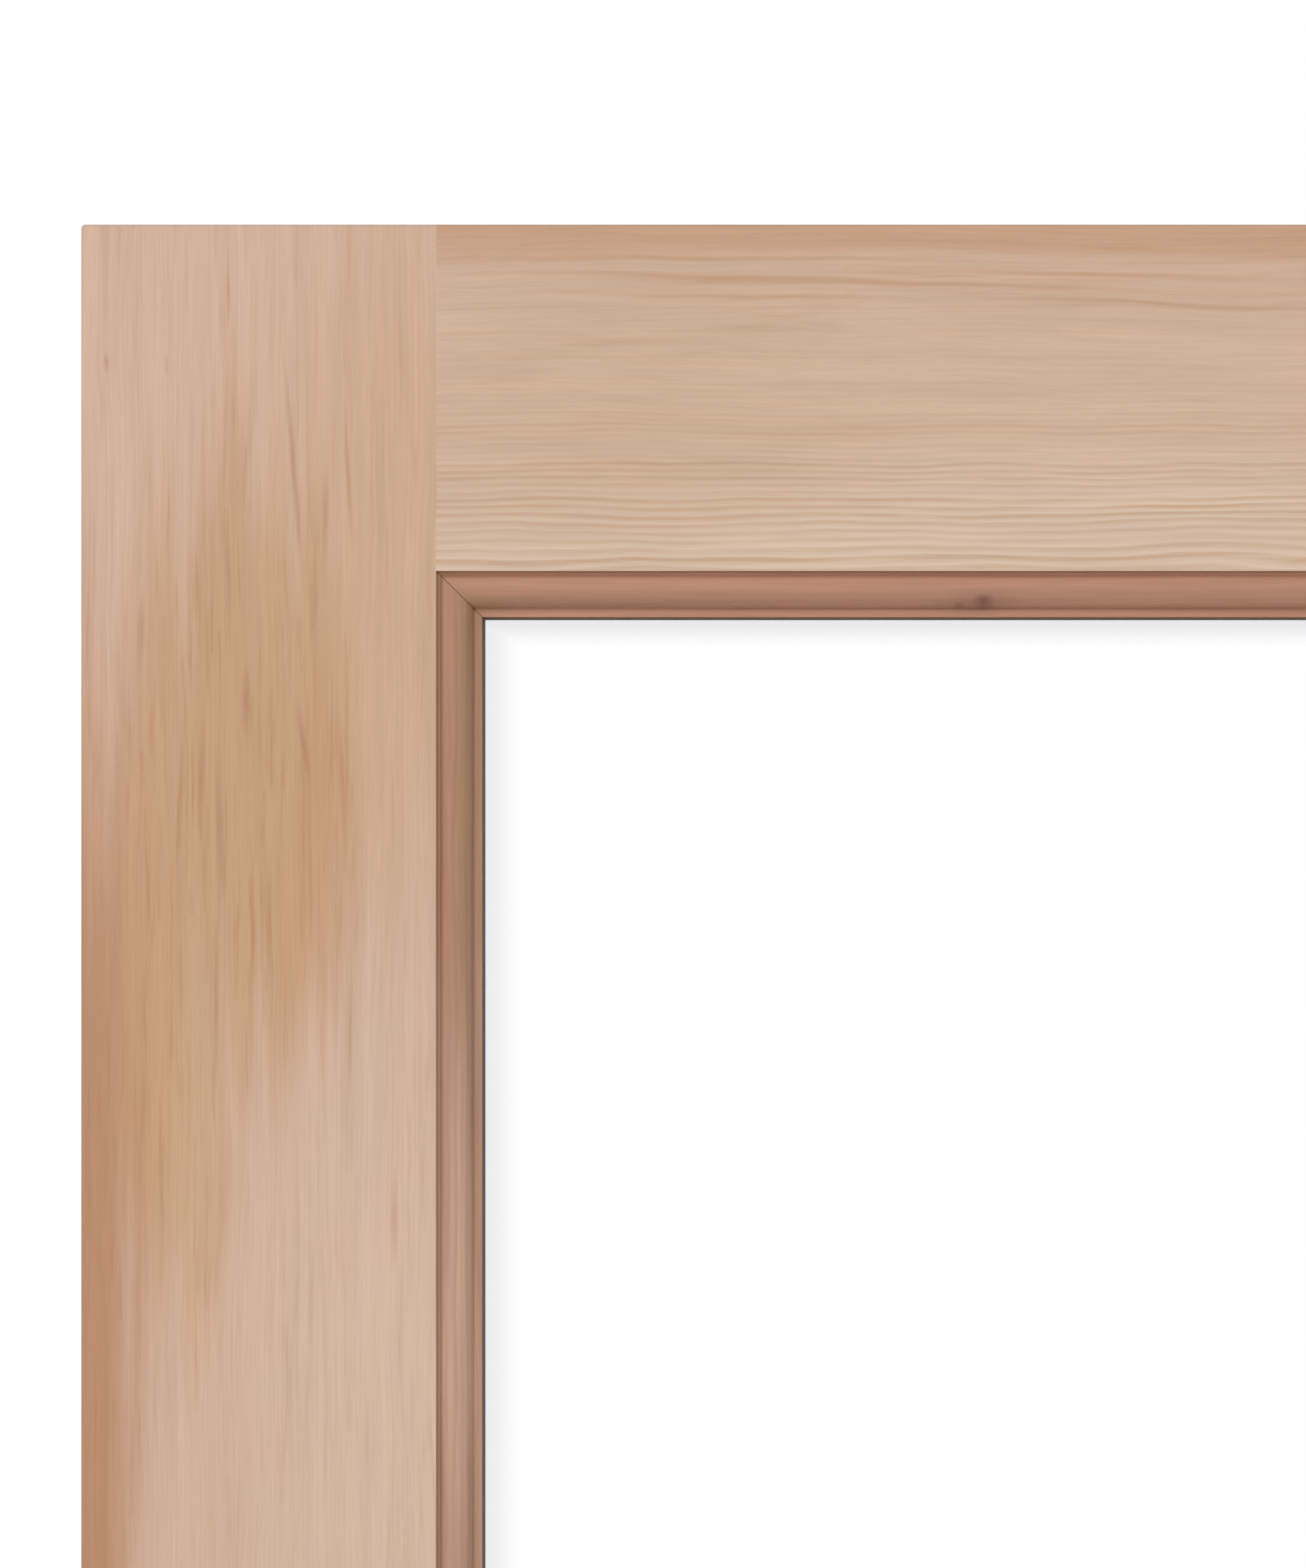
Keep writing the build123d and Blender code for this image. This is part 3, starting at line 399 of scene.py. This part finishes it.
# The stiles: two uprights of clear hemlock, 44 mm thick, planed and sanded and left bare. The free stile is
# the one in the photograph: pinkish tan, yellower in the middle, browner down its outer edge, with a few
# long dark streaks.
dark_streak, red_streak = "a97f5f", "b57e62"
stile_streaks = [
    ((57.2, 33.0), (63.4, 103.0), 1.1, dark_streak, 0.6),
    ((74.6, 46.0), (77.3, 93.0), 0.9, dark_streak, 0.5),
    ((69.6, 66.0), (69.6, 98.0), 1.3, red_streak, 0.5),
    ((41.7, 9.0), (41.7, 30.0), 0.8, dark_streak, 0.45),
    ((41.7, 78.0), (41.9, 120.0), 1.3, dark_streak, 0.6),
    ((7.2, 35.5), (7.6, 43.0), 1.0, red_streak, 0.6),
    ((24.3, 36.0), (24.5, 44.0), 0.7, red_streak, 0.4),
    ((39.3, 140.0), (38.8, 200.0), 1.4, dark_streak, 0.6),
    ((46.3, 124.0), (46.5, 146.0), 1.4, red_streak, 0.8),
    ((37.8, 196.0), (37.9, 252.0), 0.9, dark_streak, 0.5),
    ((60.6, 134.0), (65.8, 162.0), 1.4, red_streak, 0.8),
    ((17.6, 102.0), (17.0, 130.0), 1.3, dark_streak, 0.5),
    ((20.6, 132.0), (19.6, 154.0), 1.3, red_streak, 0.5),
    ((34.6, 138.0), (33.8, 176.0), 1.5, red_streak, 0.7),
    ((72.6, 130.0), (75.4, 182.0), 1.4, red_streak, 0.6),
    ((53.6, 176.0), (52.8, 214.0), 1.2, dark_streak, 0.5),
    ((76.7, 207.0), (76.9, 253.0), 0.7, dark_streak, 0.4),
    ((28.5, 200.0), (28.6, 235.0), 0.7, dark_streak, 0.4),
    ((89.4, 266.0), (89.0, 298.0), 1.4, red_streak, 0.45),
    ((22.6, 246.0), (22.6, 276.0), 0.8, dark_streak, 0.4),
]
stile_fields = [
    ((90.0, -60.0), (90.0, 270.0), 48.0, "c9a88b", 0.85),
    ((82.0, 112.0), (82.0, 688.0), 49.0, "d5b8a4", 0.8),
    ((46.0, 36.0), (46.0, 270.0), 52.0, "c29d78", 0.95),
    ((17.0, 110.0), (17.0, 345.0), 19.0, "c19975", 0.95),
    ((-2.0, 30.0), (-2.0, 640.0), 24.0, "b7896a", 1.0),
    ((32.0, 190.0), (33.0, 334.0), 14.0, "c4a17b", 0.66),
    ((66.0, 110.0), (66.0, 245.0), 11.0, "c0906a", 0.42),
]
free_stile_wood = timber(
    "sanded_hemlock_free_stile", "Z", ("d1b19c", "ae7e57", "ccac92"), pitch=1.15, heart=(-480.0, -215.0),
    seed=5.0, rings=0.15, figure=0.6, fibre=0.05, drift=0.4, wander=1.0,
    streaks=stile_streaks, fields=stile_fields, calm_fields=2,
)
hinge_stile_wood = timber(
    "sanded_hemlock_hinge_stile", "Z", ("cfad93", "b18965", "c69f7c"), pitch=1.4, heart=(-20.0, -180.0),
    seed=8.0, rings=0.35, figure=0.45,
)
dress(free_stile_wood, "stile_wood", "lock_stile")
dress(hinge_stile_wood, "stile_wood", "hinge_stile")

# The rails: the same hemlock, cut on the turn, so the growth rings run fine and straight along the top and
# open into wavy bands towards the glass. They butt into the stiles on dowels.
rail_streak = "b58c68"
rail_streaks = [
    ((100.0, 12.6), (260.0, 17.4), 1.2, rail_streak, 0.6),
    ((90.0, 9.3), (250.0, 10.4), 1.0, rail_streak, 0.6),
    ((130.0, 15.4), (330.0, 18.8), 1.1, rail_streak, 0.5),
    ((140.0, 19.6), (250.0, 21.6), 1.0, rail_streak, 0.45),
    ((225.0, 13.0), (350.0, 14.8), 1.2, rail_streak, 0.6),
    ((240.0, 21.0), (360.0, 24.0), 1.0, rail_streak, 0.5),
    ((285.0, 80.4), (345.0, 80.6), 0.8, "cc9468", 0.45),
]
rail_fields = [
    ((-300.0, 97.0), (1000.0, 97.0), 44.0, "d8c1ac", 0.9),
    ((-300.0, 6.0), (1000.0, 6.0), 34.0, "c8a890", 0.75),
    ((-300.0, 0.0), (1000.0, 0.0), 13.0, "c39d81", 0.95),
    ((40.0, 50.0), (260.0, 60.0), 60.0, "c9ab92", 0.5),
]
top_rail_wood = timber(
    "sanded_hemlock_top_rail", "X", ("d2b5a0", "b2865f", "cdaf96"), pitch=1.6, heart=(1938.0, -266.0),
    seed=31.0, rings=0.62, clear=0.3, figure=0.35, fibre=0.05, drift=0.6, wander=1.4,
    streaks=rail_streaks, fields=rail_fields,
)
bottom_rail_wood = timber(
    "sanded_hemlock_bottom_rail", "X", ("d2b094", "b98b66", "c9a380"), pitch=2.4, heart=(90.0, -215.0),
    seed=34.0, rings=0.4,
)
dress(top_rail_wood, "rail_wood", "top_rail")
dress(bottom_rail_wood, "rail_wood", "bottom_rail")

# Dowels: turned and fluted beech, glued in the joints between rails and stiles, out of sight.
# Beech is pale with a fine, even grain.
turned_beech = timber(
    "turned_beech", "X", ("d8bd98", "c49f77", "d0b28b"), pitch=1.8, heart=(2100.0, -300.0),
    seed=37.0, rings=0.25,
)
dress(turned_beech, "dowel_wood", "rail_dowels")


# The sealed unit: two panes of clear tempered float glass, a mill-finish aluminium spacer and a black edge
# seal. It stands on two rubber blocks between strips of bronze foam tape. Float glass is all but colourless
# face on; its colour here carries a painted shade near its edge, deepest under the top bead.
def clear_glass(name, painted_edge_shade, face):
    """Clear float glass, with a painted shade near the pane's edge fading into the tint of its face."""
    # the painted shade fades from where the bead ends, and is gone this far in from the pane's side or top
    bead_cover, side_fade, top_fade = 0.0105, 0.022, 0.019
    # how strong the painted shade is along the pane's sides and along its top
    side_shade_strength, top_shade_strength = 0.8, 1.0
    material = bpy.data.materials.new(name)
    material.use_nodes = True
    tree = material.node_tree
    tree.nodes.clear()
    low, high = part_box("outer_pane")
    place = add_node(tree, "ShaderNodeTexCoord").outputs["Object"]
    inside = {0: place, 1: (low + high) / 2}
    inside = add_node(tree, "ShaderNodeVectorMath", inside, operation="SUBTRACT").outputs[0]
    inside = add_node(tree, "ShaderNodeVectorMath", {0: inside}, operation="ABSOLUTE").outputs[0]
    inside = {0: (high - low) / 2, 1: inside}
    inside = add_node(tree, "ShaderNodeVectorMath", inside, operation="SUBTRACT").outputs[0]
    away = add_node(tree, "ShaderNodeSeparateXYZ", {0: inside}).outputs
    edge = 0.0
    for axis, fade, strength in (("X", side_fade, side_shade_strength), ("Z", top_fade, top_shade_strength)):
        near = {0: away[axis], 1: bead_cover, 2: fade, 3: strength, 4: 0.0}
        near = add_node(tree, "ShaderNodeMapRange", near, interpolation_type="SMOOTHSTEP").outputs[0]
        edge = add_node(tree, "ShaderNodeMath", {0: near, 1: edge}, operation="MAXIMUM").outputs[0]
    # the glass's colour greyed by the painted shade near its edge
    tint = {0: edge, 6: linear(face), 7: linear(painted_edge_shade)}
    tint = add_node(tree, "ShaderNodeMix", tint, data_type="RGBA").outputs[2]
    surface = {"Base Color": tint, "Roughness": 0.0, "IOR": 1.5, "Transmission Weight": 1.0}
    surface = add_node(tree, "ShaderNodeBsdfPrincipled", surface).outputs[0]
    add_node(tree, "ShaderNodeOutputMaterial", {"Surface": surface})
    return material


def rubber(name, colour, pit, roughness):
    """Matt rubber, foam or sealant, finely pitted. pit is the size of a pit in mm."""
    # how much lighter the raised parts are, and a pit's depth in metres, a quarter of its size
    raised, pit_depth = 1.8, pit / 4000
    material = bpy.data.materials.new(name)
    material.use_nodes = True
    tree = material.node_tree
    tree.nodes.clear()
    place = add_node(tree, "ShaderNodeTexCoord").outputs["Object"]
    pits = {"Vector": place, "Scale": 1000 / pit, "Detail": 2.0}
    pits = add_node(tree, "ShaderNodeTexNoise", pits).outputs[0]
    lighter = [channel * raised for channel in linear(colour)[:3]] + [1.0]
    shade = {0: pits, 6: linear(colour), 7: lighter}
    shade = add_node(tree, "ShaderNodeMix", shade, data_type="RGBA").outputs[2]
    bump = {"Strength": 0.4, "Distance": pit_depth, "Height": pits}
    bump = add_node(tree, "ShaderNodeBump", bump).outputs[0]
    surface = {"Base Color": shade, "Roughness": roughness, "Normal": bump}
    surface = add_node(tree, "ShaderNodeBsdfPrincipled", surface).outputs[0]
    add_node(tree, "ShaderNodeOutputMaterial", {"Surface": surface})
    return material


# the pale grey is painted shade at the pane's edge
float_glass = clear_glass("clear_float_glass", painted_edge_shade="f3f3f4", face="ffffff")
mill_aluminium = metal(
    "mill_finish_aluminium", "c6c8ca", roughness=0.4, scratch=0.08, seed=41.0, line_size=(17.0, 1.1, 17.0),
)
edge_sealant = rubber("black_edge_sealant", "0d0d0d", pit=0.4, roughness=0.55)
foam_tape = rubber("bronze_foam_tape", "75675c", pit=0.6, roughness=0.9)
block_rubber = rubber("black_block_rubber", "161616", pit=0.8, roughness=0.75)
dress(float_glass, "clear_glass", "outer_pane", "inner_pane")
dress(mill_aluminium, "spacer_bar", "pane_spacer")
dress(edge_sealant, "black_sealant", "pane_edge_seal")
dress(foam_tape, "glazing_tape", "outer_glazing_tape", "inner_glazing_tape")
dress(block_rubber, "block_rubber", "setting_blocks")

# The glazing beads: ovolo mouldings of redder, denser hemlock, mitred at the corners and pinned to the
# rebate. The cutter left them smoother than the planed members. The top one has a small tight knot.
knot_streaks = [
    ((252.9, 106.5), (259.7, 106.8), 1.9, "5f3a36", 0.95),
    ((240.3, 107.3), (269.3, 106.9), 2.8, "8e5f50", 0.5),
    ((247.3, 107.3), (251.3, 107.3), 0.7, "7a4d44", 0.5),
]
top_bead_tones_and_painted_shade = [
    # painted shade: a darker band along the moulding's lower slope, where it turns down from the light
    ((-300.0, 106.6), (1000.0, 106.6), 4.2, "ac826b", 0.8),
    ((60.0, 105.0), (150.0, 105.0), 14.0, "a4805f", 0.7),
]
free_bead_tones_and_painted_light = [
    ((112.8, -60.0), (112.8, 230.0), 3.6, "a5805f", 0.8),
    ((103.0, 20.0), (103.0, 270.0), 9.0, "ad826a", 0.9),
    # painted light: these two fields lighten the moulding's slope that faces away from the key lamp, more so
    # lower down
    ((107.5, 40.0), (107.5, 260.0), 6.0, "ab8867", 0.95),
    ((108.5, 200.0), (108.5, 420.0), 6.0, "c9a48d", 0.95),
]
top_bead_wood = timber(
    "moulded_red_hemlock_top_bead", "X", ("b98b73", "9a6a52", "b28068"), pitch=2.2,
    heart=(1980.0, -340.0), seed=43.0, rings=0.35, roughness=0.5,
    streaks=knot_streaks, fields=top_bead_tones_and_painted_shade,
)
bottom_bead_wood = timber(
    "moulded_red_hemlock_bottom_bead", "X", ("b78a73", "986852", "b08068"), pitch=2.2,
    heart=(210.0, -350.0), seed=46.0, rings=0.35, roughness=0.5,
)
free_bead_wood = timber(
    "moulded_red_hemlock_free_bead", "Z", ("b5917b", "946750", "af896f"), pitch=2.0,
    heart=(-610.0, -330.0), seed=49.0, rings=0.35, roughness=0.5, fields=free_bead_tones_and_painted_light,
)
hinge_bead_wood = timber(
    "moulded_red_hemlock_hinge_bead", "Z", ("b58f79", "956852", "ac8268"), pitch=2.1,
    heart=(-120.0, -335.0), seed=52.0, rings=0.35, roughness=0.5,
)
dress(top_bead_wood, "bead_wood", "top_bead")
dress(bottom_bead_wood, "bead_wood", "bottom_bead")
dress(free_bead_wood, "bead_wood", "lock_side_bead")
dress(hinge_bead_wood, "bead_wood", "hinge_side_bead")
dress(drawn_steel, "screw_steel", "bead_pins")

# Three butt hinges of steel, satin plated and brushed, with loose pins. The plates lie flush in their
# mortises and the barrels stand proud of the leaf.
satin_plate = metal(
    "satin_plated_steel", "bdbab4", roughness=0.3, scratch=0.07, seed=55.0, line_size=(2.0, 2.0, 25.0),
    anisotropy=0.35,
)
for level in ("upper", "middle", "lower"):
    for piece in ("_hinge_jamb_plate", "_hinge_leaf_plate", "_hinge_pin"):
        dress(satin_plate, "hinge_steel", level + piece)


# Countersunk screws of plated steel, driven flush and each left at its own turn: a flat head with a cross
# recess, a cone under it, a round shank and a pointed tip. They hold the hinges, and join the frame's legs
# to its head and sill.
def screw_tree():
    """The tree that puts a screw with a cross recess on each point, turned about its own axis by chance."""
    # the tip's length as a share of the shank's radius, and the recess's sizes as shares of the head's
    tip_share = 2.0
    recess_span, recess_width, recess_height = 1.05, 0.22, 0.8
    sides, merge_distance = 40, 0.00001
    tree = bpy.data.node_groups.new("cross_recess_screws", "GeometryNodeTree")
    tree.interface.new_socket("Geometry", in_out="INPUT", socket_type="NodeSocketGeometry")
    for name, kind in (
        ("Head radius", "NodeSocketFloat"),
        ("Shank radius", "NodeSocketFloat"),
        ("Length", "NodeSocketFloat"),
        ("Seed", "NodeSocketInt"),
        ("Finish", "NodeSocketMaterial"),
    ):
        tree.interface.new_socket(name, in_out="INPUT", socket_type=kind)
    tree.interface.new_socket("Geometry", in_out="OUTPUT", socket_type="NodeSocketGeometry")
    given = add_node(tree, "NodeGroupInput").outputs
    head, shank, length = given["Head radius"], given["Shank radius"], given["Length"]

    # the head's cone is as high as it narrows, and the tip is as long as the shank is thick
    taper = add_node(tree, "ShaderNodeMath", {0: head, 1: shank}, operation="SUBTRACT").outputs[0]
    tip = add_node(tree, "ShaderNodeMath", {0: shank, 1: tip_share}, operation="MULTIPLY").outputs[0]
    straight = add_node(tree, "ShaderNodeMath", {0: length, 1: taper}, operation="SUBTRACT").outputs[0]
    straight = add_node(tree, "ShaderNodeMath", {0: straight, 1: tip}, operation="SUBTRACT").outputs[0]
    middle = {0: straight, 1: 0.5, 2: taper}
    middle = add_node(tree, "ShaderNodeMath", middle, operation="MULTIPLY_ADD").outputs[0]
    tip_start = add_node(tree, "ShaderNodeMath", {0: taper, 1: straight}, operation="ADD").outputs[0]

    # head, shank and tip, open where they meet and merged to one closed skin
    cone = {"Vertices": sides, "Radius Top": shank, "Radius Bottom": head, "Depth": taper}
    cone = add_node(tree, "GeometryNodeMeshCone", cone, fill_type="NGON").outputs
    cone = {"Geometry": cone["Mesh"], "Selection": cone["Top"]}
    cone = add_node(tree, "GeometryNodeDeleteGeometry", cone, domain="FACE").outputs[0]
    bar = {"Vertices": sides, "Radius": shank, "Depth": straight}
    bar = add_node(tree, "GeometryNodeMeshCylinder", bar, fill_type="NONE").outputs[0]
    point = {"Vertices": sides, "Radius Top": 0.0, "Radius Bottom": shank, "Depth": tip}
    point = add_node(tree, "GeometryNodeMeshCone", point, fill_type="NONE").outputs[0]
    whole = add_node(tree, "GeometryNodeJoinGeometry")
    for piece, level in ((cone, 0.0), (bar, middle), (point, tip_start)):
        level = add_node(tree, "ShaderNodeCombineXYZ", {"Z": level}).outputs[0]
        piece = {"Geometry": piece, "Translation": level}
        piece = add_node(tree, "GeometryNodeTransform", piece).outputs[0]
        tree.links.new(piece, whole.inputs[0])
    skin = {"Geometry": whole.outputs[0], "Distance": merge_distance}
    skin = add_node(tree, "GeometryNodeMergeByDistance", skin).outputs[0]

    # the cross recess, sized from the head
    recessed = add_node(tree, "GeometryNodeMeshBoolean", operation="DIFFERENCE", solver="EXACT")
    tree.links.new(skin, recessed.inputs["Mesh 1"])
    for wide, narrow in (("X", "Y"), ("Y", "X")):
        size = {wide: recess_span, narrow: recess_width, "Z": recess_height}
        for axis, share in size.items():
            share = {0: head, 1: share}
            size[axis] = add_node(tree, "ShaderNodeMath", share, operation="MULTIPLY").outputs[0]
        size = add_node(tree, "ShaderNodeCombineXYZ", size).outputs[0]
        arm = add_node(tree, "GeometryNodeMeshCube", {"Size": size}).outputs[0]
        tree.links.new(arm, recessed.inputs["Mesh 2"])

    # each screw points into the wood along its point's "into" and has its own turn
    into = {"Name": "into"}
    into = add_node(tree, "GeometryNodeInputNamedAttribute", into, data_type="FLOAT_VECTOR").outputs[0]
    aim = add_node(tree, "FunctionNodeAlignRotationToVector", {"Vector": into}, axis="Z").outputs[0]
    turn = {"Seed": given["Seed"], 2: 0.0, 3: math.pi}
    turn = add_node(tree, "FunctionNodeRandomValue", turn, data_type="FLOAT").outputs[1]
    spin = {"Axis": (0.0, 0.0, 1.0), "Angle": turn}
    spin = add_node(tree, "FunctionNodeAxisAngleToRotation", spin).outputs[0]
    turned = {0: aim, 1: spin}
    turned = add_node(tree, "FunctionNodeRotateRotation", turned, rotation_space="LOCAL").outputs[0]
    placed = {"Points": given["Geometry"], "Instance": recessed.outputs[0], "Rotation": turned}
    placed = add_node(tree, "GeometryNodeInstanceOnPoints", placed).outputs[0]
    real = add_node(tree, "GeometryNodeRealizeInstances", {0: placed}).outputs[0]
    finished = {"Geometry": real, "Material": given["Finish"]}
    finished = add_node(tree, "GeometryNodeSetMaterial", finished).outputs[0]
    add_node(tree, "NodeGroupOutput", {0: finished})
    return tree


cross_recess_screws = screw_tree()
plated_screw = metal("plated_screw_steel", "b4b2ac", roughness=0.3, scratch=0.06, seed=58.0)


def drive_screws(name, node, body, seats, head, shank, length, seed):
    """Drives one screw at each seat, given as (point, direction), and lets them stand for the CAD node.
    head and shank are radii."""
    points = bpy.data.meshes.new(name)
    points.from_pydata([point for point, into in seats], [], [])
    directions = points.attributes.new("into", "FLOAT_VECTOR", "POINT")
    for number, (point, into) in enumerate(seats):
        directions.data[number].vector = into
    holder = bpy.data.objects.new(name, points)
    bpy.context.scene.collection.objects.link(holder)
    modifier = holder.modifiers.new("screws", "NODES")
    modifier.node_group = cross_recess_screws
    values = {"Head radius": head, "Shank radius": shank, "Length": length, "Seed": seed}
    values["Finish"] = plated_screw
    for item in cross_recess_screws.interface.items_tree:
        if item.name in values:
            modifier[item.identifier] = values[item.name]
    made = bpy.data.meshes.new_from_object(holder.evaluated_get(bpy.context.evaluated_depsgraph_get()))
    holder.modifiers.clear()
    holder.data = made
    made.name = name
    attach(holder, body)
    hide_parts(node)


def middle_of(node):
    """The middle of a CAD node's box."""
    low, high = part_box(node)
    return (low + high) / 2


# four screws zigzag up each hinge plate, this far in from its long edges and its ends
plate_screw_edge, plate_screw_end, plate_screw_count = 0.0095, 0.0125, 4
jamb_edge, jamb_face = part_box("hinge_jamb")[0].x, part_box("hinge_jamb")[1].y
leaf_face, leaf_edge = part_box("hinge_stile")[0].y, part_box("hinge_stile")[1].x
jamb_seats, leaf_seats = [], []
for level in ("lower", "middle", "upper"):
    plate_low, plate_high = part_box(level + "_hinge_jamb_plate")
    leaf_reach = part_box(level + "_hinge_leaf_plate")[1].y
    columns = (jamb_edge + plate_screw_edge, plate_high.x - plate_screw_edge)
    leaf_columns = (leaf_face + plate_screw_edge, leaf_reach - plate_screw_edge)
    run = plate_high.z - plate_low.z - 2 * plate_screw_end
    for number in range(plate_screw_count):
        z = plate_low.z + plate_screw_end + number * run / (plate_screw_count - 1)
        jamb_seats.append(((columns[number % 2], jamb_face, z), (0.0, -1.0, 0.0)))
        leaf_seats.append(((leaf_edge, leaf_columns[number % 2], z), (-1.0, 0.0, 0.0)))
drive_screws(
    "hinge_jamb_screw_set", "hinge_jamb_screws", "frame", jamb_seats,
    head=0.0046, shank=0.0023, length=0.015, seed=1,
)
drive_screws(
    "hinge_leaf_screw_set", "hinge_leaf_screws", "leaf", leaf_seats,
    head=0.0046, shank=0.0023, length=0.03, seed=2,
)

# two screws through each leg into the head, and two up through the sill into each leg
frame_screw_spread = 0.07
frame_seats = []
for side, leg, outside in ((-1, "hinge_jamb", 0), (1, "strike_jamb", 1)):
    for x in (-frame_screw_spread / 2, frame_screw_spread / 2):
        head_seat = (x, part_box(leg)[outside].y, middle_of("head_jamb").z)
        sill_seat = (x, middle_of(leg).y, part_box("sill")[0].z)
        frame_seats.append((head_seat, (0.0, -side, 0.0)))
        frame_seats.append((sill_seat, (0.0, 0.0, 1.0)))
drive_screws(
    "frame_screw_set", "frame_screws", "frame", frame_seats,
    head=0.0045, shank=0.0022, length=0.05, seed=5,
)

# The strike: a plate of satin steel, 1.6 mm, let flush into the strike leg, with a window for the roller
# and a lip curved round the jamb's edge. Two screws hold it, one near each end.
catch_screw_end = 0.007
plate_low, plate_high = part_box("strike_plate")
catch_levels = (plate_low.z + catch_screw_end, plate_high.z - catch_screw_end)
dress(satin_plate, "catch_steel", "strike_plate")
strike_x = middle_of("strike_screws").x
strike_seats = [((strike_x, plate_low.y, z), (0.0, 1.0, 0.0)) for z in catch_levels]
drive_screws(
    "strike_screw_set", "strike_screws", "frame", strike_seats,
    head=0.0034, shank=0.0017, length=0.015, seed=3,
)

# The roller catch: a satin steel case let into the leaf's free edge, with a face plate held by two screws,
# and a turned steel plunger that slides in it and carries the roller's pin. Its screws are level with the
# strike's.
catch_plate = metal("satin_catch_steel", "bab8b3", roughness=0.33, scratch=0.07, seed=61.0)
dress(catch_plate, "catch_steel", "catch_case", "catch_plunger", "catch_roller_pin")
case_face, case_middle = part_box("catch_case")[0].x, middle_of("catch_case").y
catch_seats = [((case_face, case_middle, z), (1.0, 0.0, 0.0)) for z in catch_levels]
drive_screws(
    "catch_screw_set", "catch_screws", "leaf", catch_seats,
    head=0.0034, shank=0.0017, length=0.018, seed=4,
)

# The catch's spring: nearly six turns of hard drawn steel wire between the plunger and the case's back end.
# It shortens by the plunger's travel when the catch is pressed.
merge_distance = 0.000001
spring_wire = metal("hard_drawn_spring_wire", "a3a4a5", roughness=0.28, scratch=0.05, seed=64.0)
coil_mesh = bpy.data.meshes.new("catch_spring_coil")
merged = bmesh.new()
merged.from_mesh(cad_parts["catch_spring"].data)
bmesh.ops.remove_doubles(merged, verts=merged.verts, dist=merge_distance)
merged.to_mesh(coil_mesh)
merged.free()
coil_mesh.shade_smooth()
coil_mesh.materials.clear()
coil_mesh.materials.append(spring_wire)
coil = bpy.data.objects.new("catch_spring_coil", coil_mesh)
bpy.context.scene.collection.objects.link(coil)
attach(coil, "leaf")
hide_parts("catch_spring")
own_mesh(coil)

# The catch's roller: turned nylon, a warm white with a soft gloss, lightly scuffed by the strike.
# A little light enters it, which softens its edges.
scuff_size, scuff_depth = 1.4, 0.00003
nylon = bpy.data.materials.new("turned_nylon")
nylon.use_nodes = True
tree = nylon.node_tree
tree.nodes.clear()
place = add_node(tree, "ShaderNodeTexCoord").outputs["Object"]
scuffs = {"Vector": place, "Scale": 1000 / scuff_size, "Detail": 3.0}
scuffs = add_node(tree, "ShaderNodeTexNoise", scuffs).outputs[0]
shade = {0: scuffs, 6: linear("d8d4ca"), 7: linear("efece5")}
shade = add_node(tree, "ShaderNodeMix", shade, data_type="RGBA").outputs[2]
gloss = add_node(tree, "ShaderNodeMapRange", {0: scuffs, 3: 0.35, 4: 0.55}).outputs[0]
bump = {"Strength": 0.2, "Distance": scuff_depth, "Height": scuffs}
bump = add_node(tree, "ShaderNodeBump", bump).outputs[0]
surface = {"Base Color": shade, "Roughness": gloss, "Normal": bump, "IOR": 1.53}
surface.update({"Subsurface Weight": 0.15, "Subsurface Scale": 0.001})
surface = add_node(tree, "ShaderNodeBsdfPrincipled", surface).outputs[0]
add_node(tree, "ShaderNodeOutputMaterial", {"Surface": surface})
dress(nylon, "roller_plastic", "catch_roller")

# The bow pulls: sawn and sanded from one piece of hemlock each, so they stay cool to the hand in the heat.
# Two steel rods run through the leaf into brass inserts in both pulls.
outer_pull_wood = timber(
    "sanded_hemlock_outer_pull", "Z", ("cca588", "b07e5a", "c2966f"), pitch=1.9, heart=(-560.0, -300.0),
    seed=67.0, rings=0.45,
)
inner_pull_wood = timber(
    "sanded_hemlock_inner_pull", "Z", ("cba486", "ae7c58", "c0946e"), pitch=1.9, heart=(-700.0, -190.0),
    seed=71.0, rings=0.45,
)
brass = metal("turned_brass", "c9a55c", roughness=0.3, scratch=0.06, seed=73.0)
dress(outer_pull_wood, "pull_wood", "outer_pull")
dress(inner_pull_wood, "pull_wood", "inner_pull")
dress(drawn_steel, "screw_steel", "pull_rods")
dress(brass, "insert_brass", "pull_inserts")
